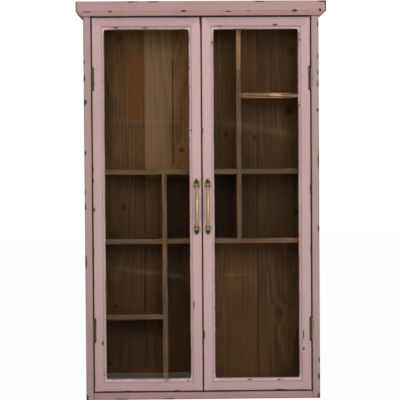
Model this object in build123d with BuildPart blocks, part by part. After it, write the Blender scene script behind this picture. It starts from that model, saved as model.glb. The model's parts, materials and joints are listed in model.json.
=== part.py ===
from build123d import *
import os
from math import asin, cos, radians, sin

os.makedirs("parts", exist_ok=True)

# A shallow wall cabinet for a small collection: a painted case with a cornice,
# two glazed doors, and a stained interior divided by shelves and uprights.
# Millimetres. X runs to the right, Y to the back and Z up. The origin is the
# middle of the underside of the carcass.

# Carcass
cabinet_height = 800
carcass_width = 472
carcass_depth = 100
board = 15
board_arris = 1
joint_slack = 0.1

# Cornice
cornice_height = 29
cornice_overhang = 14
cornice_chamfer = 8.5
cornice_arris = 0.8

# Back boards, tongued and grooved, in a rebate of the sides and the top
back_thickness = 8.5
back_rebate_depth = 9
back_rebate = 8
middle_back_width = 116
back_gap = 0.4
back_vee = 1
tongue_depth = 5
tongue_thickness = 3
tongue_slack = 0.3

# Shelves and uprights
shelf_thickness = 10
shelf_setback = 28
shelf_arris = 1.2
side_housing = 4
upright_housing = 3
upper_shelf_height = 453.5
lower_shelf_height = 313
short_right_height = 607
short_left_height = 159
upright_offset = 76

# Dowels in the corners of the carcass
dowel_radius = 3
dowel_in_end = 18
dowel_in_face = 10
dowel_spacing = 56

# Doors
door_gap = 2
door_thickness = 18
member_width = 24
member_arris = 0.8
bead_radius = 5
quirk_width = 1
quirk_depth = 1.2
glass_setback = 8
glass_rebate = 5.5
glass_thickness = 3
glass_slack = 1
bead_strip_chamfer = 2.5
bead_strip_setback = 0.5
mitre_gap = 0.1
key_length = 14
key_height = 10
key_thickness = 3
key_inset = 9

# Hinges
hinge_height = 45
hinge_inset = 123
knuckle_count = 5
knuckle_radius = 2.5
knuckle_gap = 0.3
knuckle_inset = 1
knuckle_setback = 1.5
knuckle_room = 0.4
leaf_thickness = 1.2
leaf_depth = 14
pin_radius = 1.1
pin_slack = 0.1
pin_head_radius = 1.9
pin_head_height = 1.3

# Wood screws of the hinges and hangers
screw_head_radius = 2.7
screw_shank_radius = 1.4
screw_length = 12
screw_point = 1.5
screw_slack = 0.1
hinge_screw_spacing = 30

# Stop batten, magnets and strikes
stop_gap = 0.5
batten_depth = 9
batten_height = 30
catch_height = 7
catch_inset = 32
magnet_radius = 4
magnet_length = 6.5
cup_wall = 0.7
cup_floor = 0.8
strike_radius = 5.5
strike_thickness = 1
strike_pin_radius = 1
strike_pin_length = 7

# Bow handles
handle_inset = 10.25
handle_height = 388.5
handle_length = 116.5
plate_length = 24
plate_width = 15.6
plate_neck_width = 6.4
plate_thickness = 2.4
plate_rim = 1.7
plate_recess = 1.4
plate_shoulder = 13
plate_flank_width = 9.7
plate_haunch_width = 14
plate_swell = 1.3
stem_width = 3
crossbar_width = 9.8
crossbar_height = 2.6
bow_half_span = 37
bow_rise = 22
bow_middle_width = 7.6
bow_middle_thickness = 5.2
bow_end_width = 5
bow_end_thickness = 4.2
bow_sections = 21
collar_radius = 3.3
handle_screw_radius = 1.75
handle_screw_depth = 3.6
handle_screw_head_radius = 3.6
handle_screw_head_height = 2.2
handle_screw_slack = 0.25

# Keyhole hangers, let into the back boards
hanger_spacing = 340
hanger_drop = 60
hanger_width = 16
hanger_height = 46
hanger_thickness = 2
hanger_screw_spacing = 35
hanger_screw_length = 7
keyhole_radius = 5
keyhole_slot_radius = 2.5
keyhole_drop = 4
keyhole_rise = 9
pocket_depth = 5
pocket_margin = 1

# Planes that several pieces share
front = -carcass_depth / 2
rear = carcass_depth / 2
back_face = rear - back_rebate_depth
back_rear = back_face + back_thickness
half_width = carcass_width / 2
inner = half_width - board
ceiling = cabinet_height - board
cornice_bottom = cabinet_height - cornice_height
cabinet_width = carcass_width + 2 * cornice_overhang
back_edge = inner + back_rebate
shelf_front = front + shelf_setback
shelf_rear = back_face - joint_slack
shelf_middle = (shelf_front + shelf_rear) / 2
upright_bottom = board - side_housing + joint_slack
upright_top = ceiling + side_housing - joint_slack

door_outer = inner - door_gap
door_meeting = door_gap / 2
door_width = door_outer - door_meeting
door_bottom = board + door_gap
door_top = cornice_bottom - door_gap
door_height = door_top - door_bottom
door_rear = front + door_thickness
solid_width = member_width - glass_rebate
glass_front = front + glass_setback + joint_slack

axis_x = door_outer - knuckle_inset
axis_y = front + knuckle_setback
leaf_rear = axis_y + leaf_depth
leaf_front = axis_y + knuckle_radius + knuckle_room + joint_slack
hinge_screw_y = (leaf_front + leaf_rear) / 2
hinge_bottoms = [
    door_bottom + hinge_inset - hinge_height / 2,
    door_top - hinge_inset - hinge_height / 2,
]

batten_front = door_rear + stop_gap
catch_z = ceiling - batten_height + catch_height
catch_x = door_meeting + catch_inset
handle_x = door_meeting + handle_inset
hanger_z = cabinet_height - hanger_drop


def save(piece, name):
    """Label a finished piece and write it under its own name."""
    piece.part.label = name
    export_step(piece.part, f"parts/{name}.step")


def block(low, high, mode=Mode.ADD):
    """A straight-sided prism between two corners, given in any order."""
    middle = [(a + b) / 2 for a, b in zip(low, high)]
    size = [abs(b - a) for a, b in zip(low, high)]
    with BuildSketch(Plane.XY.offset(middle[2] - size[2] / 2)) as outline:
        with Locations((middle[0], middle[1])):
            Rectangle(size[0], size[1])
    extrude(outline.sketch, amount=size[2], mode=mode)


def round_rod(start, direction, radius, length, mode=Mode.ADD):
    """A plain round rod or hole from a point along a direction."""
    with BuildSketch(Plane(origin=start, z_dir=direction)) as outline:
        Circle(radius)
    extrude(outline.sketch, amount=length, mode=mode)


def turned(plane, points, mode=Mode.ADD):
    """A piece turned about a plane's x axis from its half section."""
    with BuildSketch(plane) as section:
        with BuildLine():
            Polyline(*points, close=True)
        make_face()
    revolve(section.sketch, axis=Axis(plane.origin, plane.x_dir), mode=mode)


def wood_screw(head, direction, length):
    """A countersunk wood screw, from its flat head to its point."""
    cone = screw_head_radius - screw_shank_radius
    points = [
        (0, 0),
        (0, screw_head_radius),
        (cone, screw_shank_radius),
        (length - screw_point, screw_shank_radius),
        (length, 0),
    ]
    turned(Plane(origin=head, x_dir=direction, z_dir=(0, 0, 1)), points)


def screw_hole(head, direction, length):
    """The countersunk hole of a wood screw, clear of it by the slack."""
    cone = screw_head_radius - screw_shank_radius
    points = [
        (-screw_slack, 0),
        (-screw_slack, screw_head_radius + screw_slack),
        (cone, screw_shank_radius + screw_slack),
        (length + screw_slack, screw_shank_radius + screw_slack),
        (length + screw_slack, 0),
    ]
    plane = Plane(origin=head, x_dir=direction, z_dir=(0, 0, 1))
    turned(plane, points, Mode.SUBTRACT)


def hinge_screw_places():
    """Heights of the screws in the leaves of both hinges of a door."""
    middles = [bottom + hinge_height / 2 for bottom in hinge_bottoms]
    steps = (-hinge_screw_spacing / 2, hinge_screw_spacing / 2)
    return [middle + step for middle in middles for step in steps]


def dowel_places():
    """Depths of the dowels in each corner of the carcass."""
    middle = (front + back_face) / 2
    return [middle - dowel_spacing / 2, middle + dowel_spacing / 2]


def corner_dowels(hand, slack, mode=Mode.ADD):
    """The dowels of one side, at its foot and its head, or their holes."""
    radius = dowel_radius + slack
    length = dowel_in_face + dowel_in_end + 2 * slack
    for y in dowel_places():
        foot = (hand * (inner + dowel_in_face + slack), y, board / 2)
        round_rod(foot, (-hand, 0, 0), radius, length, mode)
        head = (hand * (inner + board / 2), y, ceiling + dowel_in_face + slack)
        round_rod(head, (0, 0, -1), radius, length, mode)


# Carcass


def side_board(hand, housings):
    """A side, housed for its shelves and let in for the hinge leaves."""
    with BuildPart() as side:
        with BuildSketch() as section:
            with Locations((hand * (inner + board / 2), 0)):
                Rectangle(board, carcass_depth)
            fillet(section.vertices().group_by(Axis.Y)[0], board_arris)
        extrude(amount=ceiling)
        block(
            (hand * inner, back_face, 0),
            (hand * back_edge, rear, ceiling),
            Mode.SUBTRACT,
        )
        for height in housings:
            block(
                (hand * inner, shelf_front - joint_slack, height - joint_slack),
                (
                    hand * (inner + side_housing),
                    back_face,
                    height + shelf_thickness + joint_slack,
                ),
                Mode.SUBTRACT,
            )
        for bottom in hinge_bottoms:
            block(
                (hand * inner, front - board_arris, bottom - joint_slack),
                (
                    hand * (inner + leaf_thickness + joint_slack),
                    leaf_rear + joint_slack,
                    bottom + hinge_height + joint_slack,
                ),
                Mode.SUBTRACT,
            )
        for height in hinge_screw_places():
            head = (hand * inner, hinge_screw_y, height)
            screw_hole(head, (hand, 0, 0), screw_length)
        corner_dowels(hand, joint_slack, Mode.SUBTRACT)
    return side


save(
    side_board(-1, [short_left_height, lower_shelf_height, upper_shelf_height]),
    "side_left",
)
save(
    side_board(1, [lower_shelf_height, upper_shelf_height, short_right_height]),
    "side_right",
)


def upright_sides(x):
    """The two faces of an upright, with the slack of its housing."""
    reach = shelf_thickness / 2 + joint_slack
    return x - reach, x + reach


with BuildPart() as bottom_board:
    with BuildSketch(Plane.YZ.offset(-inner)) as bottom_section:
        with Locations(((front + back_face) / 2, board / 2)):
            Rectangle(back_face - front, board)
        fillet(bottom_section.vertices().group_by(Axis.Y)[0], board_arris)
    extrude(amount=2 * inner)
    housing_low, housing_high = upright_sides(-upright_offset)
    block(
        (housing_low, shelf_front - joint_slack, board - side_housing),
        (housing_high, back_face, board),
        Mode.SUBTRACT,
    )
    corner_dowels(-1, joint_slack, Mode.SUBTRACT)
    corner_dowels(1, joint_slack, Mode.SUBTRACT)
save(bottom_board, "bottom_board")

with BuildPart() as top_board:
    block((-half_width, front, ceiling), (half_width, rear, cabinet_height))
    block(
        (-back_edge, back_face, ceiling),
        (back_edge, rear, ceiling + back_rebate),
        Mode.SUBTRACT,
    )
    housing_low, housing_high = upright_sides(upright_offset)
    block(
        (housing_low, shelf_front - joint_slack, ceiling),
        (housing_high, back_face, ceiling + side_housing),
        Mode.SUBTRACT,
    )
    corner_dowels(-1, joint_slack, Mode.SUBTRACT)
    corner_dowels(1, joint_slack, Mode.SUBTRACT)
save(top_board, "top_board")

with BuildPart() as carcass_dowels:
    corner_dowels(-1, 0)
    corner_dowels(1, 0)
save(carcass_dowels, "carcass_dowels")

with BuildPart() as head_rail:
    block((-inner, front, cornice_bottom), (inner, batten_front, ceiling))
save(head_rail, "head_rail")


# Cornice: three mitred lengths of one moulding


def cornice_length(plane, length, mitres):
    """One length of the moulding; the section looks outwards along x."""
    with BuildPart() as moulding:
        with BuildSketch(plane) as section:
            with BuildLine():
                Polyline(
                    (0, 0),
                    (cornice_overhang - cornice_chamfer, 0),
                    (cornice_overhang, cornice_chamfer),
                    (cornice_overhang, cornice_height),
                    (0, cornice_height),
                    close=True,
                )
            make_face()
            fillet([v for v in section.vertices() if v.X > 0], cornice_arris)
        extrude(amount=length)
        for corner, keep in mitres:
            split(bisect_by=Plane(origin=corner, z_dir=keep), keep=Keep.TOP)
    return moulding


left_corner = (-half_width, front, cornice_bottom)
right_corner = (half_width, front, cornice_bottom)
save(
    cornice_length(
        Plane(
            origin=(half_width + cornice_overhang, front, cornice_bottom),
            x_dir=(0, -1, 0),
            z_dir=(-1, 0, 0),
        ),
        cabinet_width,
        [(left_corner, (1, -1, 0)), (right_corner, (-1, -1, 0))],
    ),
    "cornice_front",
)
save(
    cornice_length(
        Plane(
            origin=(-half_width, front - cornice_overhang, cornice_bottom),
            x_dir=(-1, 0, 0),
            z_dir=(0, 1, 0),
        ),
        carcass_depth + cornice_overhang,
        [(left_corner, (-1, 1, 0))],
    ),
    "cornice_left",
)
save(
    cornice_length(
        Plane(
            origin=(half_width, rear, cornice_bottom),
            x_dir=(1, 0, 0),
            z_dir=(0, -1, 0),
        ),
        carcass_depth + cornice_overhang,
        [(right_corner, (1, 1, 0))],
    ),
    "cornice_right",
)


# Back boards


def stadium(width, height):
    """Outline of a plate with round ends, standing up."""
    SlotOverall(height, width, rotation=90)


def hanger_plane(hand):
    """The rear of the back boards at a hanger, seen from behind."""
    origin = (hand * hanger_spacing / 2, back_rear, hanger_z)
    return Plane(origin=origin, x_dir=(-1, 0, 0), z_dir=(0, 1, 0))


def hanger_screws_at(hand, make):
    """The two screws of a hanger, or their holes, by the given maker."""
    for step in (-hanger_screw_spacing / 2, hanger_screw_spacing / 2):
        head = (hand * hanger_spacing / 2, back_rear, hanger_z + step)
        make(head, (0, -1, 0), hanger_screw_length)


def hanger_recess(hand):
    """Seat of a hanger plate, and the pocket for the wall screw's head."""
    with BuildSketch(hanger_plane(hand)) as seat:
        stadium(hanger_width + 2 * joint_slack, hanger_height + 2 * joint_slack)
    extrude(seat.sketch, amount=-hanger_thickness, mode=Mode.SUBTRACT)
    pocket_width = 2 * (keyhole_radius + pocket_margin)
    pocket_height = keyhole_rise + pocket_width
    with BuildSketch(hanger_plane(hand)) as pocket:
        with Locations((0, keyhole_rise / 2 - keyhole_drop)):
            stadium(pocket_width, pocket_height)
    depth = hanger_thickness + pocket_depth
    extrude(pocket.sketch, amount=-depth, mode=Mode.SUBTRACT)
    hanger_screws_at(hand, screw_hole)


back_top = ceiling + back_rebate - joint_slack
back_edges = [
    -back_edge + joint_slack - back_gap / 2,
    -middle_back_width,
    0,
    middle_back_width,
    back_edge - joint_slack + back_gap / 2,
]
last_back = len(back_edges) - 2
for index in range(len(back_edges) - 1):
    left = back_edges[index] + back_gap / 2
    right = back_edges[index + 1] - back_gap / 2
    middle_y = (back_face + back_rear) / 2
    with BuildPart() as back_board:
        with BuildSketch() as back_section:
            with Locations(((left + right) / 2, middle_y)):
                Rectangle(right - left, back_thickness)
            chamfer(back_section.vertices().group_by(Axis.Y)[0], back_vee)
            if index < last_back:
                with Locations((right, middle_y)):
                    Rectangle(2 * tongue_depth, tongue_thickness)
            if index > 0:
                groove_depth = tongue_depth + tongue_slack
                with Locations((left, middle_y)):
                    Rectangle(
                        2 * groove_depth,
                        tongue_thickness + tongue_slack,
                        mode=Mode.SUBTRACT,
                    )
        extrude(amount=back_top)
        if index == 0:
            hanger_recess(-1)
        if index == last_back:
            hanger_recess(1)
    save(back_board, f"back_board_{index + 1}")


# Keyhole hangers

for hand, name in ((-1, "left"), (1, "right")):
    with BuildPart() as hanger:
        with BuildSketch(hanger_plane(hand)):
            stadium(hanger_width, hanger_height)
            with Locations((0, -keyhole_drop)):
                Circle(keyhole_radius, mode=Mode.SUBTRACT)
            with Locations((0, keyhole_rise / 2 - keyhole_drop)):
                SlotCenterToCenter(
                    keyhole_rise,
                    2 * keyhole_slot_radius,
                    rotation=90,
                    mode=Mode.SUBTRACT,
                )
        extrude(amount=-hanger_thickness)
        hanger_screws_at(hand, screw_hole)
    save(hanger, f"hanger_{name}")

with BuildPart() as hanger_screws:
    hanger_screws_at(-1, wood_screw)
    hanger_screws_at(1, wood_screw)
save(hanger_screws, "hanger_screws")


# Shelves and uprights


def shelf_blank(low, high, height):
    """A shelf between two places, with a softened front edge."""
    with BuildSketch(Plane.YZ.offset(low)) as section:
        with Locations((shelf_middle, height + shelf_thickness / 2)):
            Rectangle(shelf_rear - shelf_front, shelf_thickness)
        fillet(section.vertices().group_by(Axis.Y)[0], shelf_arris)
    extrude(section.sketch, amount=high - low)


def upright_blank(x, low, high):
    """An upright between two heights, with a softened front edge."""
    with BuildSketch(Plane.XY.offset(low)) as section:
        with Locations((x, shelf_middle)):
            Rectangle(shelf_thickness, shelf_rear - shelf_front)
        fillet(section.vertices().group_by(Axis.Y)[0], shelf_arris)
    extrude(section.sketch, amount=high - low)


shelf_end = inner + side_housing - joint_slack


def full_shelf(height, crossing, housing, from_above):
    """A shelf across the case, halved at one upright and housed for the other."""
    with BuildPart() as shelf:
        shelf_blank(-shelf_end, shelf_end, height)
        slot_low, slot_high = upright_sides(crossing)
        block(
            (slot_low, shelf_front, height),
            (slot_high, shelf_middle + joint_slack, height + shelf_thickness),
            Mode.SUBTRACT,
        )
        groove_low, groove_high = upright_sides(housing)
        face = height + shelf_thickness if from_above else height
        depth = -upright_housing if from_above else upright_housing
        block(
            (groove_low, shelf_front, face),
            (groove_high, shelf_rear, face + depth),
            Mode.SUBTRACT,
        )
    return shelf


save(
    full_shelf(upper_shelf_height, upright_offset, -upright_offset, False),
    "shelf_upper",
)
save(
    full_shelf(lower_shelf_height, -upright_offset, upright_offset, True),
    "shelf_lower",
)

short_reach = upright_offset + shelf_thickness / 2 - upright_housing + joint_slack
with BuildPart() as shelf_short_right:
    shelf_blank(short_reach, shelf_end, short_right_height)
save(shelf_short_right, "shelf_short_right")

with BuildPart() as shelf_short_left:
    shelf_blank(-shelf_end, -short_reach, short_left_height)
save(shelf_short_left, "shelf_short_left")


def upright(hand, low, high, crossing, short_height):
    """An upright, halved over one shelf and housed for a short one."""
    with BuildPart() as piece:
        upright_blank(hand * upright_offset, low, high)
        face_low, face_high = upright_sides(hand * upright_offset)
        block(
            (face_low, shelf_middle - joint_slack, crossing - joint_slack),
            (face_high, shelf_rear, crossing + shelf_thickness + joint_slack),
            Mode.SUBTRACT,
        )
        outer_face = upright_offset + shelf_thickness / 2
        block(
            (hand * outer_face, shelf_front, short_height - joint_slack),
            (
                hand * (outer_face - upright_housing),
                shelf_rear,
                short_height + shelf_thickness + joint_slack,
            ),
            Mode.SUBTRACT,
        )
    return piece


save(
    upright(
        -1,
        upright_bottom,
        upper_shelf_height + upright_housing - joint_slack,
        lower_shelf_height,
        short_left_height,
    ),
    "upright_left",
)
save(
    upright(
        1,
        lower_shelf_height + shelf_thickness - upright_housing + joint_slack,
        upright_top,
        upper_shelf_height,
        short_right_height,
    ),
    "upright_right",
)


# Stop batten with the magnets, and the strikes that meet them


def catch_plane(hand, y, inwards):
    """A plane whose x axis runs along a catch, from a depth y."""
    direction = (0, 1, 0) if inwards else (0, -1, 0)
    return Plane(origin=(hand * catch_x, y, catch_z), x_dir=direction, z_dir=(0, 0, 1))


cup_radius = magnet_radius + joint_slack + cup_wall
cup_depth = magnet_length + joint_slack + cup_floor
with BuildPart() as stop_batten:
    block(
        (-inner, batten_front, ceiling - batten_height),
        (inner, batten_front + batten_depth, ceiling),
    )
    for hand in (-1, 1):
        round_rod(
            (hand * catch_x, batten_front, catch_z),
            (0, 1, 0),
            cup_radius + joint_slack,
            cup_depth + joint_slack,
            Mode.SUBTRACT,
        )
save(stop_batten, "stop_batten")

for hand, name in ((-1, "left"), (1, "right")):
    cup_plane = catch_plane(hand, batten_front, True)
    with BuildPart() as catch_cup:
        turned(
            cup_plane,
            [
                (0, magnet_radius + joint_slack),
                (0, cup_radius),
                (cup_depth, cup_radius),
                (cup_depth, 0),
                (cup_depth - cup_floor, 0),
                (cup_depth - cup_floor, magnet_radius + joint_slack),
            ],
        )
    save(catch_cup, f"catch_cup_{name}")
    with BuildPart() as catch_magnet:
        round_rod(cup_plane.origin, (0, 1, 0), magnet_radius, magnet_length)
    save(catch_magnet, f"catch_magnet_{name}")


# Hinges: the leaves, knuckles and pins of one side of the cabinet


def knuckle_spans(first):
    """Heights of every second knuckle of both hinges, from the given one."""
    pitch = hinge_height / knuckle_count
    return [
        (
            bottom + index * pitch + knuckle_gap / 2,
            bottom + (index + 1) * pitch - knuckle_gap / 2,
        )
        for bottom in hinge_bottoms
        for index in range(first, knuckle_count, 2)
    ]


def hinge_leaves(hand, first, outer_x, screw_x, plate_front, direction):
    """Two leaves; outer_x is the buried face, screw_x the open face."""
    with BuildPart() as leaves:
        for bottom in hinge_bottoms:
            block(
                (hand * outer_x, plate_front, bottom),
                (hand * screw_x, leaf_rear, bottom + hinge_height),
            )
        strap = leaf_thickness / 2
        for low, high in knuckle_spans(first):
            if first == 0:
                block(
                    (hand * outer_x, axis_y - strap, low),
                    (hand * axis_x, axis_y + strap, high),
                )
            else:
                block(
                    (hand * outer_x, axis_y, low),
                    (hand * screw_x, plate_front + strap, high),
                )
            round_rod((hand * axis_x, axis_y, low), (0, 0, 1), knuckle_radius, high - low)
        for low, high in knuckle_spans(first):
            round_rod(
                (hand * axis_x, axis_y, low),
                (0, 0, 1),
                pin_radius + pin_slack,
                high - low,
                Mode.SUBTRACT,
            )
        for height in hinge_screw_places():
            head = (hand * screw_x, hinge_screw_y, height)
            screw_hole(head, direction, screw_length)
    return leaves


def pin_section():
    """Half section of a hinge pin with a flat head at each end."""
    top = hinge_height
    return [
        (-pin_head_height, 0),
        (-pin_head_height, pin_head_radius),
        (0, pin_head_radius),
        (0, pin_radius),
        (top, pin_radius),
        (top, pin_head_radius),
        (top + pin_head_height, pin_head_radius),
        (top + pin_head_height, 0),
    ]


for hand, name in ((-1, "left"), (1, "right")):
    frame_leaves = hinge_leaves(
        hand,
        0,
        inner + leaf_thickness,
        inner,
        axis_y - leaf_thickness / 2,
        (hand, 0, 0),
    )
    save(frame_leaves, f"frame_hinge_leaves_{name}")
    door_leaves = hinge_leaves(
        hand,
        1,
        door_outer - leaf_thickness,
        door_outer,
        leaf_front,
        (-hand, 0, 0),
    )
    save(door_leaves, f"door_{name}_hinge_leaves")

    with BuildPart() as hinge_pins:
        for bottom in hinge_bottoms:
            pin_plane = Plane(
                origin=(hand * axis_x, axis_y, bottom),
                x_dir=(0, 0, 1),
                z_dir=(0, 1, 0),
            )
            turned(pin_plane, pin_section())
    save(hinge_pins, f"hinge_pins_{name}")

with BuildPart() as frame_hinge_screws:
    for hand in (-1, 1):
        for height in hinge_screw_places():
            wood_screw((hand * inner, hinge_screw_y, height), (hand, 0, 0), screw_length)
save(frame_hinge_screws, "frame_hinge_screws")


# Doors


def frame_section():
    """Section of a door member: outer edge at x 0, front face at y 0."""
    sight = member_width - bead_radius
    with BuildLine() as edge:
        Polyline(
            (member_width, quirk_depth + bead_radius),
            (member_width, glass_setback),
            (solid_width, glass_setback),
            (solid_width, door_thickness),
            (0, door_thickness),
            (0, 0),
            (sight - quirk_width, 0),
            (sight - quirk_width, quirk_depth),
            (sight, quirk_depth),
        )
        RadiusArc(
            (sight, quirk_depth),
            (member_width, quirk_depth + bead_radius),
            bead_radius,
        )
    make_face(edge.edges())


def bead_strip_section():
    """Section of a glazing strip behind the glass, in the same place."""
    strip_front = glass_setback + glass_thickness + 2 * joint_slack
    strip_rear = door_thickness - bead_strip_setback
    with BuildLine() as edge:
        Polyline(
            (solid_width + joint_slack, strip_front),
            (member_width, strip_front),
            (member_width, strip_rear - bead_strip_chamfer),
            (member_width - bead_strip_chamfer, strip_rear),
            (solid_width + joint_slack, strip_rear),
            close=True,
        )
    make_face(edge.edges())


def mitred(plane, section, length, arris, gap):
    """A member cut at 45 degrees at both ends, with half a gap at each."""
    with BuildSketch(plane) as outline:
        section()
    if arris:
        outer = [
            v
            for v in outline.sketch.vertices()
            if abs(plane.to_local_coords(v).X) < arris / 2
        ]
        outline_face = outline.sketch.faces()[0].fillet_2d(arris, outer)
    else:
        outline_face = outline.sketch.faces()[0]
    extrude(outline_face, amount=length)
    along = plane.z_dir
    across = plane.x_dir
    start = plane.origin + along * (gap / 2)
    end = plane.origin + along * (length - gap / 2)
    split(bisect_by=Plane(origin=start, z_dir=along - across), keep=Keep.TOP)
    split(bisect_by=Plane(origin=end, z_dir=-along - across), keep=Keep.TOP)


def door_corners(hand):
    """Outer corners of a door at its front, anticlockwise from low left."""
    low_x = min(hand * door_outer, hand * door_meeting)
    high_x = low_x + door_width
    return [
        (low_x, front, door_bottom),
        (high_x, front, door_bottom),
        (high_x, front, door_top),
        (low_x, front, door_top),
    ]


def key_plates(corner, inwards, slack, mode=Mode.ADD):
    """The loose tongue across one mitre, or its slot."""
    step_x, step_z = inwards
    middle = front + door_thickness / 2 - key_thickness / 2 - slack
    origin = (corner[0] + step_x * key_inset, middle, corner[2] + step_z * key_inset)
    plane = Plane(origin=origin, x_dir=(step_x, 0, -step_z), z_dir=(0, 1, 0))
    with BuildSketch(plane) as outline:
        Rectangle(key_length + 2 * slack, key_height + 2 * slack)
    extrude(outline.sketch, amount=key_thickness + 2 * slack, mode=mode)


inwards_at_corner = [(1, 1), (-1, 1), (-1, -1), (1, -1)]


def side_length(index):
    """Length of a door's side: even sides lie, odd sides stand."""
    return door_height if index % 2 else door_width


def member_plane(corners, index):
    """Plane of a side's section, x inwards, y to the rear, z along the side."""
    along = [(-1, 0, 0), (0, 0, -1), (1, 0, 0), (0, 0, 1)][index]
    across = [(0, 0, 1), (-1, 0, 0), (0, 0, -1), (1, 0, 0)][index]
    origin = corners[(index + 1) % len(corners)]
    return Plane(origin=origin, x_dir=across, z_dir=along)


def door_member(hand, start, extra=None):
    """One member of a door's frame, with slots for the tongues at its ends."""
    corners = door_corners(hand)
    with BuildPart() as member:
        plane = member_plane(corners, start)
        mitred(plane, frame_section, side_length(start), member_arris, 0)
        for index in (start, (start + 1) % len(corners)):
            key_plates(corners[index], inwards_at_corner[index], joint_slack, Mode.SUBTRACT)
        if extra:
            extra(hand)
    return member


def glazing_strips(hand):
    """The four mitred strips that hold the glass, as separate solids."""
    corners = door_corners(hand)
    with BuildPart() as strips:
        for index in range(len(corners)):
            with BuildPart(mode=Mode.PRIVATE) as strip:
                plane = member_plane(corners, index)
                mitred(plane, bead_strip_section, side_length(index), 0, mitre_gap)
            add(strip.part)
    return strips


def hinge_recesses(hand):
    """Notches for the knuckles and seats for the leaves in a door's edge."""
    room = pin_head_height + knuckle_gap
    for bottom in hinge_bottoms:
        round_rod(
            (hand * axis_x, axis_y, bottom - room),
            (0, 0, 1),
            knuckle_radius + knuckle_room,
            hinge_height + 2 * room,
            Mode.SUBTRACT,
        )
        block(
            (hand * door_outer, axis_y, bottom - joint_slack),
            (
                hand * (door_outer - leaf_thickness - joint_slack),
                leaf_rear + joint_slack,
                bottom + hinge_height + joint_slack,
            ),
            Mode.SUBTRACT,
        )
    for height in hinge_screw_places():
        head = (hand * door_outer, hinge_screw_y, height)
        screw_hole(head, (-hand, 0, 0), screw_length)


def handle_screw_places():
    """Heights of the two screws of a handle."""
    return [handle_height - bow_half_span, handle_height + bow_half_span]


def handle_holes(hand):
    """Holes for the handle screws through the meeting stile."""
    for height in handle_screw_places():
        round_rod(
            (hand * handle_x, front, height),
            (0, 1, 0),
            handle_screw_radius + handle_screw_slack,
            door_thickness,
            Mode.SUBTRACT,
        )


def handle_screw_section():
    """Half section of a handle screw, from the door's rear face forwards."""
    reach = door_thickness + handle_screw_depth
    return [
        (-handle_screw_head_height, 0),
        (-handle_screw_head_height, handle_screw_head_radius),
        (0, handle_screw_head_radius),
        (0, handle_screw_radius),
        (reach, handle_screw_radius),
        (reach, 0),
    ]


def strike_section(slack):
    """Half section of the strike, from the door's rear face forwards."""
    return [
        (0, 0),
        (0, strike_radius + slack),
        (strike_thickness + slack, strike_radius + slack),
        (strike_thickness + slack, strike_pin_radius + slack),
        (strike_thickness + strike_pin_length + slack, strike_pin_radius + slack),
        (strike_thickness + strike_pin_length + slack, 0),
    ]


def strike_recess(hand):
    """Seat of the strike in the rear of the top rail."""
    turned(
        catch_plane(hand, door_rear, False),
        strike_section(joint_slack),
        Mode.SUBTRACT,
    )


# Bow handle: two pointed plates joined by a bowed bar, cast in one

bow_depth = bow_rise - plate_thickness
bow_circle = (bow_half_span**2 + bow_depth**2) / (2 * bow_depth)
bow_swing = asin(bow_half_span / bow_circle)


def plate_outline(plane, tip, turn):
    """Pointed plate outline; turn is 1 with the point up, -1 with it down."""
    half = plate_width / 2
    neck = plate_neck_width / 2
    shoulder = tip - turn * plate_shoulder
    foot = tip - turn * plate_length
    flank = (plate_flank_width / 2, (tip + shoulder) / 2 + turn * plate_swell)
    haunch = (plate_haunch_width / 2, (shoulder + foot) / 2 + turn * plate_swell)
    with BuildSketch(plane) as outline:
        with BuildLine():
            ThreePointArc((0, tip), flank, (half, shoulder))
            ThreePointArc((half, shoulder), haunch, (neck, foot))
            Line((neck, foot), (0, foot))
            mirror(about=Plane.YZ)
        make_face()
    return outline


def bow_section(plane, step):
    """One oval section of the bow, counted from its lower end."""
    place = 2 * step / (bow_sections - 1) - 1
    angle = bow_swing * place
    share = cos(radians(90) * place)
    width = bow_end_width + (bow_middle_width - bow_end_width) * share
    depth = bow_end_thickness + (bow_middle_thickness - bow_end_thickness) * share
    out = bow_rise - bow_circle + bow_circle * cos(angle)
    origin = plane.from_local_coords((0, bow_circle * sin(angle), out))
    tangent = plane.y_dir * cos(angle) - plane.z_dir * sin(angle)
    with BuildSketch(Plane(origin=origin, x_dir=plane.x_dir, z_dir=tangent)) as oval:
        Ellipse(width / 2, depth / 2)
    return oval


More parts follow.
